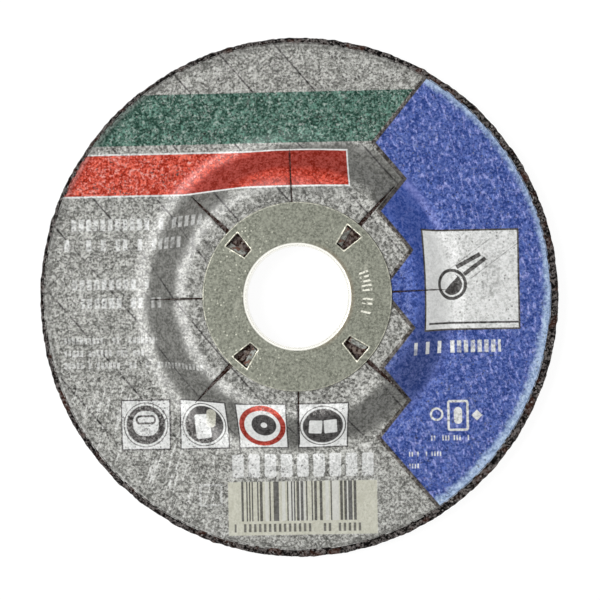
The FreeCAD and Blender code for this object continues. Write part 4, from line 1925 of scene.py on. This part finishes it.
@dataclass(frozen=True)
class MouldedDisc:
    """The moulded abrasive disc, turned from its section with the grain standing out."""

    form: DiscForm
    outer_columns: int = 720
    inner_columns: int = 360
    split_radius: float = 34.0
    seat_gap: float = 0.12
    seat_inset: float = 0.3
    hidden_step: float = 2.4
    grain: float = 0.95
    grain_relief: float = 0.36
    grain_seed: int = 7
    lump: float = 2.3
    lump_relief: float = 0.3
    lump_seed: int = 19
    plain_depth: float = 0.6
    plain_inset: float = 0.2
    plain_bore: float = 0.8
    top_band: float = 0.2
    pit_inset: float = 0.6
    pit_room: float = 0.15
    wall_run: float = 0.25
    near_wall: float = 0.05
    far_wall: float = 0.2

    def section(self) -> Section:
        """The disc's section, a little lower where the label hides it.

        Returns:
            The closed outline.
        """
        form = self.form
        seat = form.label_thickness + self.seat_gap
        rim, hub, hidden = form.rim_top - seat, form.hub_top - seat, self.hidden_step
        edge = form.label_radius - self.seat_inset
        recess = form.hub_radius - form.recess_inset
        mouth = recess + form.slope_run
        return Section(
            (
                Bend(form.bore_radius, form.hub_rise, 0.0, 0.5),
                Bend(recess, form.hub_rise, form.recess_corner_radius, 0.5),
                Bend(mouth, 0.0, form.recess_mouth_radius, 0.5),
                Bend(form.disc_radius, 0.0, form.rim_edge_radius, 0.35),
                Bend(form.disc_radius, form.rim_top, form.rim_edge_radius, 0.24),
                Bend(edge, form.rim_top, 0.0, 0.4),
                Bend(edge, rim, 0.0, hidden),
                Bend(form.foot_radius, rim, form.hub_foot_radius, hidden),
                Bend(form.hub_radius, hub, form.hub_edge_radius, hidden),
                Bend(form.label_bore, hub, 0.0, 0.4),
                Bend(form.label_bore, form.hub_top, 0.0, 0.26),
                Bend(form.pit_near - self.pit_inset, form.hub_top, 0.0, 0.8),
                Bend(form.bore_radius, form.hub_top, form.bore_edge_radius, 1.2),
            )
        )

    def build(self) -> bpy.types.Object:
        """Turns the section into the disc, row by row.

        Returns:
            The disc as one closed mesh.
        """
        form = self.form
        section = self.section()
        weaver = Weaver()
        grains = GrainField(self.grain, self.grain_seed)
        lumps = GrainField(self.lump, self.lump_seed)
        rings = []
        for index, (radius, height) in enumerate(section.rows):
            count = self.outer_columns if radius > self.split_radius else self.inner_columns
            angles = np.radians(np.arange(count) * 360.0 / count)
            outward = outward_from(angles)
            drift = form.drift(radius, angles) if height > form.rim_top / 2.0 else np.zeros(count)
            points = outward * (radius + drift)[:, None] + (0.0, 0.0, height)
            grain = grains.height(points)
            depth = self._depth(radius, height)
            points -= section.facing_round(index, outward) * ((1.0 - grain) * depth)[:, None]
            if depth and radius > form.label_radius:
                points -= outward * ((1.0 - lumps.height(points)) * self.lump_relief)[:, None]
            points[:, 2] -= self._pits(radius, height, angles)
            rings.append(weaver.add(points, grain))
        for here, ahead in zip(rings, rings[1:] + rings[:1]):
            weaver.strip(np.append(here, here[0]), np.append(ahead, ahead[0]))
        return weaver.make("abrasive_body")

    def _depth(self, radius: float, height: float) -> float:
        """Depth of the relief on a row of the section: none where another piece lies on it.

        Args:
            radius: The row's distance from the axis.
            height: The row's height.

        Returns:
            The depth in millimetres.
        """
        form = self.form
        raised = height > form.rim_top - self.plain_depth
        seated = raised and radius < form.label_radius - self.plain_inset
        in_bore = radius < form.bore_radius + self.plain_bore
        return 0.0 if seated or in_bore else self.grain_relief

    def _pits(self, radius: float, height: float, angles: np.ndarray) -> np.ndarray:
        """How deep the hub is cut under the ring's windows.

        Args:
            radius: The row's distance from the axis.
            height: The row's height.
            angles: The angles of the row's points, in radians.

        Returns:
            The depth at each point, in millimetres.
        """
        form = self.form
        on_top = height >= form.hub_top - self.top_band
        if not (on_top and form.pit_near < radius < form.pit_far):
            return np.zeros(len(angles))
        turn = 360.0 / form.pit_count
        offset = (np.degrees(angles) - form.pit_angle + turn / 2.0) % turn - turn / 2.0
        beside = np.radians(offset) * radius
        share = (radius - form.pit_near) / (form.pit_far - form.pit_near)
        half = form.window_near_half + (form.window_far_half - form.window_near_half) * share
        near = -half - self.pit_room + self.near_wall
        far = half + self.pit_room + self.far_wall
        wall = fade(beside, near - self.wall_run, near) * fade(beside, far + self.wall_run, far)
        return wall * form.pit_depth


@dataclass(frozen=True)
class PaperLabel:
    """The paper ring pressed over hub, slope and rim, with its relief slits."""

    form: DiscForm
    inner_columns: int = 48
    outer_columns: int = 96
    split_radius: float = 36.0
    slit_angles: tuple[float, ...] = (2.9, 48.8, 93.2, 136.8, 181.1, 225.9, 270.7, 317.7)
    open_width: float = 1.15
    closed_width: float = 0.42
    tip_width: float = 0.2
    least_half_gap: float = 0.04
    raggedness: float = 0.07
    fray: float = 0.3
    grain: float = 0.85
    grain_relief: float = 0.17
    grain_seed: int = 11
    wrinkle: float = 0.08
    wrinkle_waves: int = 24
    wrinkle_first: int = 5
    wrinkle_seed: int = 5
    swell: float = 0.04
    ripple: float = 0.03
    hub_fall: float = 0.04

    def section(self) -> tuple[Section, int]:
        """The sheet's section, under side first.

        Returns:
            The closed outline, and the number of its rows that lie underneath.
        """
        form = self.form
        rim, hub, thickness = form.rim_top, form.hub_top, form.label_thickness
        under = (
            Bend(form.label_bore, hub - thickness, 0.0, 1.4),
            Bend(form.hub_radius, hub - thickness, form.hub_edge_radius, 1.4),
            Bend(form.foot_radius, rim - thickness, form.hub_foot_radius, 1.8),
            Bend(form.label_radius, rim - thickness, 0.0, 1.0),
        )
        over = (
            Bend(form.label_radius, rim, 0.0, 0.37),
            Bend(form.foot_radius, rim, form.hub_foot_radius - thickness, 0.36),
            Bend(form.hub_radius, hub, form.hub_edge_radius + thickness, 0.36),
            Bend(form.label_bore, hub, 0.0, 1.0),
        )
        section = Section(under + over)
        radii, heights = section.rows.T
        # Of the rows at the sheet's outer edge, the lowest is the last one underneath.
        last_under = int(np.argmax(radii + HAIR * (heights < rim - HAIR)))
        return section, last_under + 1

    def _half_gap(self, sector: int, radius: float) -> float:
        """How wide a slit stands open, a little ragged along its sides.

        Args:
            sector: Number of the sector that follows the slit.
            radius: Distance from the axis.

        Returns:
            Half the slit's width, in millimetres.
        """
        widest = self.open_width if sector % 2 else self.closed_width
        share = (radius - self.form.label_bore) / (self.form.slit_end - self.form.label_bore)
        torn = self.raggedness * math.sin(7.3 * radius + 2.1 * sector)
        torn *= math.sin(3.1 * radius + 1.7 * sector)
        half = (widest + (self.tip_width - widest) * share) / 2.0
        return max(half + torn, self.least_half_gap)

    def _angles(self, sector: int, radius: float, count: int) -> np.ndarray:
        """Where a sector's points lie on a row, from slit to slit.

        Args:
            sector: The sector's number.
            radius: The row's distance from the axis.
            count: How many steps the sector has.

        Returns:
            One angle more than there are steps, in radians.
        """
        start = math.radians(self.slit_angles[sector])
        following = (sector + 1) % len(self.slit_angles)
        end = math.radians(self.slit_angles[following] + (360.0 if following == 0 else 0.0))
        if radius < self.form.slit_end:
            start += self._half_gap(sector, radius) / radius
            end -= self._half_gap(following, radius) / radius
        return np.linspace(start, end, count + 1)

    def build(self) -> bpy.types.Object:
        """Turns the section into the label, sector by sector.

        Returns:
            The label as one closed mesh.
        """
        section, under_rows = self.section()
        weaver = Weaver()
        grains = GrainField(self.grain, self.grain_seed)
        waves = np.random.default_rng(self.wrinkle_seed).random((self.wrinkle_waves, 2))
        rings = [
            self._row(weaver, section, index, index >= under_rows, grains, waves)
            for index in range(len(section.rows))
        ]
        for here, ahead in zip(rings, rings[1:] + rings[:1]):
            for first, second in zip(here, ahead):
                weaver.strip(first, second)
        self._wall_slits(weaver, rings, section.rows, under_rows)
        return weaver.make("paper_label")

    def _row(
        self,
        weaver: Weaver,
        section: Section,
        index: int,
        on_top: bool,
        grains: GrainField,
        waves: np.ndarray,
    ) -> list[np.ndarray]:
        """Adds one row of the section to the mesh.

        Args:
            weaver: The label's mesh.
            section: The sheet's outline.
            index: The row's number.
            on_top: Whether the row lies on the printed side.
            grains: The grain that the paper is pressed into.
            waves: Phase and size (N, 2) of the waves that the wrinkles are made of.

        Returns:
            A chain of point numbers for each sector, which reaches the next sector's where the
            row isn't slit.
        """
        radius, height = section.rows[index]
        wide = on_top and radius > self.split_radius
        count = self.outer_columns if wide else self.inner_columns
        slit = radius < self.form.slit_end
        chains = []
        for sector in range(len(self.slit_angles)):
            angles = self._angles(sector, radius, count)
            if not slit:
                angles = angles[:-1]
            outward = outward_from(angles)
            drifted = radius + self.form.drift(radius, angles)
            points = outward * drifted[:, None] + (0.0, 0.0, height)
            grain = grains.height(points)
            if on_top:
                lift = self._lift(radius, angles, grain, waves)
                facing = section.facing_round(index, outward)
                if radius > self.form.label_radius - HAIR:
                    facing[:] = (0.0, 0.0, 1.0)
                    lift = np.minimum(lift, 0.0)
                    points -= outward * (self.fray * (1.0 - grain))[:, None]
                points += facing * lift[:, None]
            chains.append(weaver.add(points, grain))
        if slit:
            return chains
        return [np.append(chain, ahead[0]) for chain, ahead in zip(chains, chains[1:] + chains[:1])]

    def _wall_slits(
        self, weaver: Weaver, rings: list[list[np.ndarray]], rows: np.ndarray, under_rows: int
    ) -> None:
        """Closes the cut edges of every slit, from the hole out to the first whole row.

        Args:
            weaver: The label's mesh.
            rings: Each row's chains of point numbers, one for each sector.
            rows: The section's rows (N, 2).
            under_rows: How many of them lie underneath.
        """
        slit = rows[:, 0] < self.form.slit_end
        below = [index for index in range(under_rows) if slit[index]]
        above = [index for index in range(under_rows, len(rows)) if slit[index]]
        below.append(below[-1] + 1)
        above.insert(0, above[0] - 1)
        above.reverse()
        for sector in range(len(self.slit_angles)):
            for end in (0, -1):
                low = np.array([rings[index][sector][end] for index in below])
                high = np.array([rings[index][sector][end] for index in above])
                first, second = (low, high) if end == 0 else (high, low)
                weaver.strip(first, second)

    def _lift(
        self, radius: float, angles: np.ndarray, grain: np.ndarray, waves: np.ndarray
    ) -> np.ndarray:
        """How far the paper stands above its seat: pressed into the grain, creased on the slope.

        Args:
            radius: The row's distance from the axis.
            angles: The angles of the row's points, in radians.
            grain: The grain's height under each point, 0 to 1.
            waves: Phase and size (N, 2) of the waves that the wrinkles are made of.

        Returns:
            The height at each point, in millimetres.
        """
        form = self.form
        at = np.array(radius)
        rim = float(fade(at, form.foot_radius + 1.4, form.foot_radius + 4.6))
        hub = float(fade(at, form.hub_radius - 1.8, form.hub_radius - 3.4))
        shown = float(fade(at, form.flange_radius - 0.2, form.flange_radius + 1.4))
        pressed = self.grain_relief * max(rim, 0.8 * hub) * (0.3 + 0.7 * shown)
        lift = -(1.0 - grain) * pressed
        slope = float(fade(at, form.hub_radius - 2.5, form.hub_radius + 1.0))
        slope *= float(fade(at, form.foot_radius + 5.0, form.foot_radius - 1.0))
        wrinkles = np.zeros(len(angles))
        for number, (phase, size) in enumerate(waves, start=self.wrinkle_first):
            turned = number * angles + math.tau * phase + radius * (0.1 + 0.3 * size)
            wrinkles += (0.3 + size) * np.sin(turned)
        lift += self.wrinkle * slope * wrinkles / 3.0
        foot = float(fade(at, form.foot_radius - 2.0, form.foot_radius + 0.4))
        foot *= float(fade(at, form.foot_radius + 4.4, form.foot_radius + 0.4))
        lift += foot * (self.swell + self.ripple * np.sin(2.4 * radius + 1.1 * wrinkles))
        dome = float(fade(at, form.hub_radius - 3.4, form.hub_radius - 0.6))
        dome *= float(fade(at, form.hub_radius + 4.0, form.hub_radius))
        return (lift - self.hub_fall * dome) * shown


class Look(Enum):
    """The studio's floor and its background, which is a little over white, in linear colour."""

    FLOOR = (0.86, 0.86, 0.86)
    BACKGROUND = (1.06, 1.06, 1.06)


@dataclass(frozen=True)
class Studio:
    """A white floor, one broad lamp above the camera's left, and a low even fill."""

    floor_size: float = 6000.0
    lamp_place: tuple[float, float, float] = (-350.0, 60.0, 860.0)
    lamp_size: float = 320.0
    lamp_power: float = 7.3
    fill: float = 0.26
    shadow_share: float = 0.1

    def build(self) -> None:
        """Lays the floor and sets the lights."""
        half = self.floor_size / 2.0 * MM
        mesh = bpy.data.meshes.new("floor")
        corners = [(-half, -half, 0.0), (half, -half, 0.0), (half, half, 0.0), (-half, half, 0.0)]
        mesh.from_pydata(corners, [], [(0, 1, 2, 3)])
        mesh.materials.append(self._floor_finish())
        floor = placed("floor", mesh)
        self._world()
        self._lamp()

    @staticmethod
    def _seen(wiring: Wiring) -> Socket:
        """Whether a ray comes from the camera, a reflection or through glass.

        Args:
            wiring: The tree that asks.

        Returns:
            1 for such a ray and 0 for any other.
        """
        path = wiring.node("LightPath").outputs
        seen = wiring.math("MAXIMUM", path["Is Camera Ray"], path["Is Glossy Ray"])
        return wiring.math("MAXIMUM", seen, path["Is Transmission Ray"])

    def _floor_finish(self) -> bpy.types.Material:
        """White to the camera but for the shadow, and plain matt to other light.

        Returns:
            The finished material.
        """
        made = bpy.data.materials.new("pale_floor")
        wiring = cleared(made)
        matt = wiring.node("BsdfDiffuse")
        wiring.feed(matt.inputs["Color"], Look.FLOOR.value)
        glow = wiring.node("Emission")
        wiring.feed(glow.inputs["Color"], Look.BACKGROUND.value)
        mixed = wiring.node("MixShader")
        wiring.feed(mixed.inputs[0], wiring.times(self._seen(wiring), 1.0 - self.shadow_share))
        wiring.feed(mixed.inputs[1], matt.outputs[0])
        wiring.feed(mixed.inputs[2], glow.outputs[0])
        wiring.feed(wiring.node("OutputMaterial").inputs["Surface"], mixed.outputs[0])
        return made

    def _world(self) -> None:
        """A low even fill that looks white."""
        world = bpy.data.worlds.new("studio")
        wiring = cleared(world)
        ground = wiring.node("Background")
        wiring.feed(ground.inputs["Color"], Look.BACKGROUND.value)
        strength = wiring.ramp(self._seen(wiring), 0.0, 1.0, self.fill, 1.0)
        wiring.feed(ground.inputs["Strength"], strength)
        wiring.feed(wiring.node("OutputWorld").inputs["Surface"], ground.outputs[0])
        bpy.context.scene.world = world

    def _lamp(self) -> None:
        """A square soft lamp that looks at the disc."""
        light = bpy.data.lights.new("soft_lamp", "AREA")
        light.shape = "SQUARE"
        light.size = self.lamp_size * MM
        light.energy = self.lamp_power
        lamp = placed("soft_lamp", light)
        lamp.matrix_world = aimed(Vector(self.lamp_place) * MM, Vector((0.0, 0.0, 0.0)))


def aimed(place: Vector, target: Vector) -> Matrix:
    """The frame of a camera or lamp that looks at a target, with +Y upward in its view.

    Args:
        place: Where it stands.
        target: The point that it looks at.

    Returns:
        Its matrix in the world.
    """
    back = (place - target).normalized()
    side = Vector((0.0, 1.0, 0.0)).cross(back).normalized()
    up = back.cross(side)
    turned = Matrix((side, up, back)).transposed().to_4x4()
    return Matrix.Translation(place) @ turned


@dataclass(frozen=True)
class ProductCamera:
    """The photograph's view: nearly straight down on the face."""

    place: tuple[float, float, float] = (32.2, -8.4, 700.0)
    target: tuple[float, float, float] = (0.36, -0.66, 5.0)
    field: float = 132.2
    field_height: float = 6.0
    sensor: float = 36.0

    def build(self) -> None:
        """Makes the scene's camera."""
        lens = bpy.data.cameras.new("camera")
        lens.sensor_width = self.sensor
        lens.lens = self.sensor * (self.place[2] - self.field_height) / self.field
        lens.clip_start = 0.01
        camera = placed("camera", lens)
        camera.matrix_world = aimed(Vector(self.place) * MM, Vector(self.target) * MM)
        bpy.context.scene.camera = camera


def fit(piece: bpy.types.Object, finish: bpy.types.Material, node: str) -> None:
    """Gives a piece its finish and its place in the part.

    Args:
        piece: The mesh.
        finish: Its material.
        node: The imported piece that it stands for.
    """
    piece.data.materials.append(finish)
    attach(piece, BODY)
    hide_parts(node)
    log.info("%s: %d triangles for %s", piece.name, len(piece.data.polygons), node)


def main() -> None:
    """Builds and dresses the disc, its camera and its studio."""
    logging.basicConfig(level=logging.INFO, format="%(message)s")
    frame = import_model()
    form = DiscForm.from_frame()
    ProductCamera().build()
    Studio().build()
    disc, abrasive = MouldedDisc(form).build(), BondedAbrasive("bonded_abrasive", form).dress()
    fit(disc, abrasive, "abrasive_disc")
    label, paper = PaperLabel(form).build(), PrintedPaper("printed_paper", form).dress()
    fit(label, paper, "label")
    ring = frame["nodes"]["centre_ring"]
    steel = PressedSteel("pressed_steel", form).dress()
    for slot in ring.material_slots:
        slot.material = steel
    log.info("%s: the packed ring, dressed as %s", ring.name, steel.name)
    bpy.context.scene.view_settings.view_transform = "Standard"


if __name__ == "__main__":
    main()
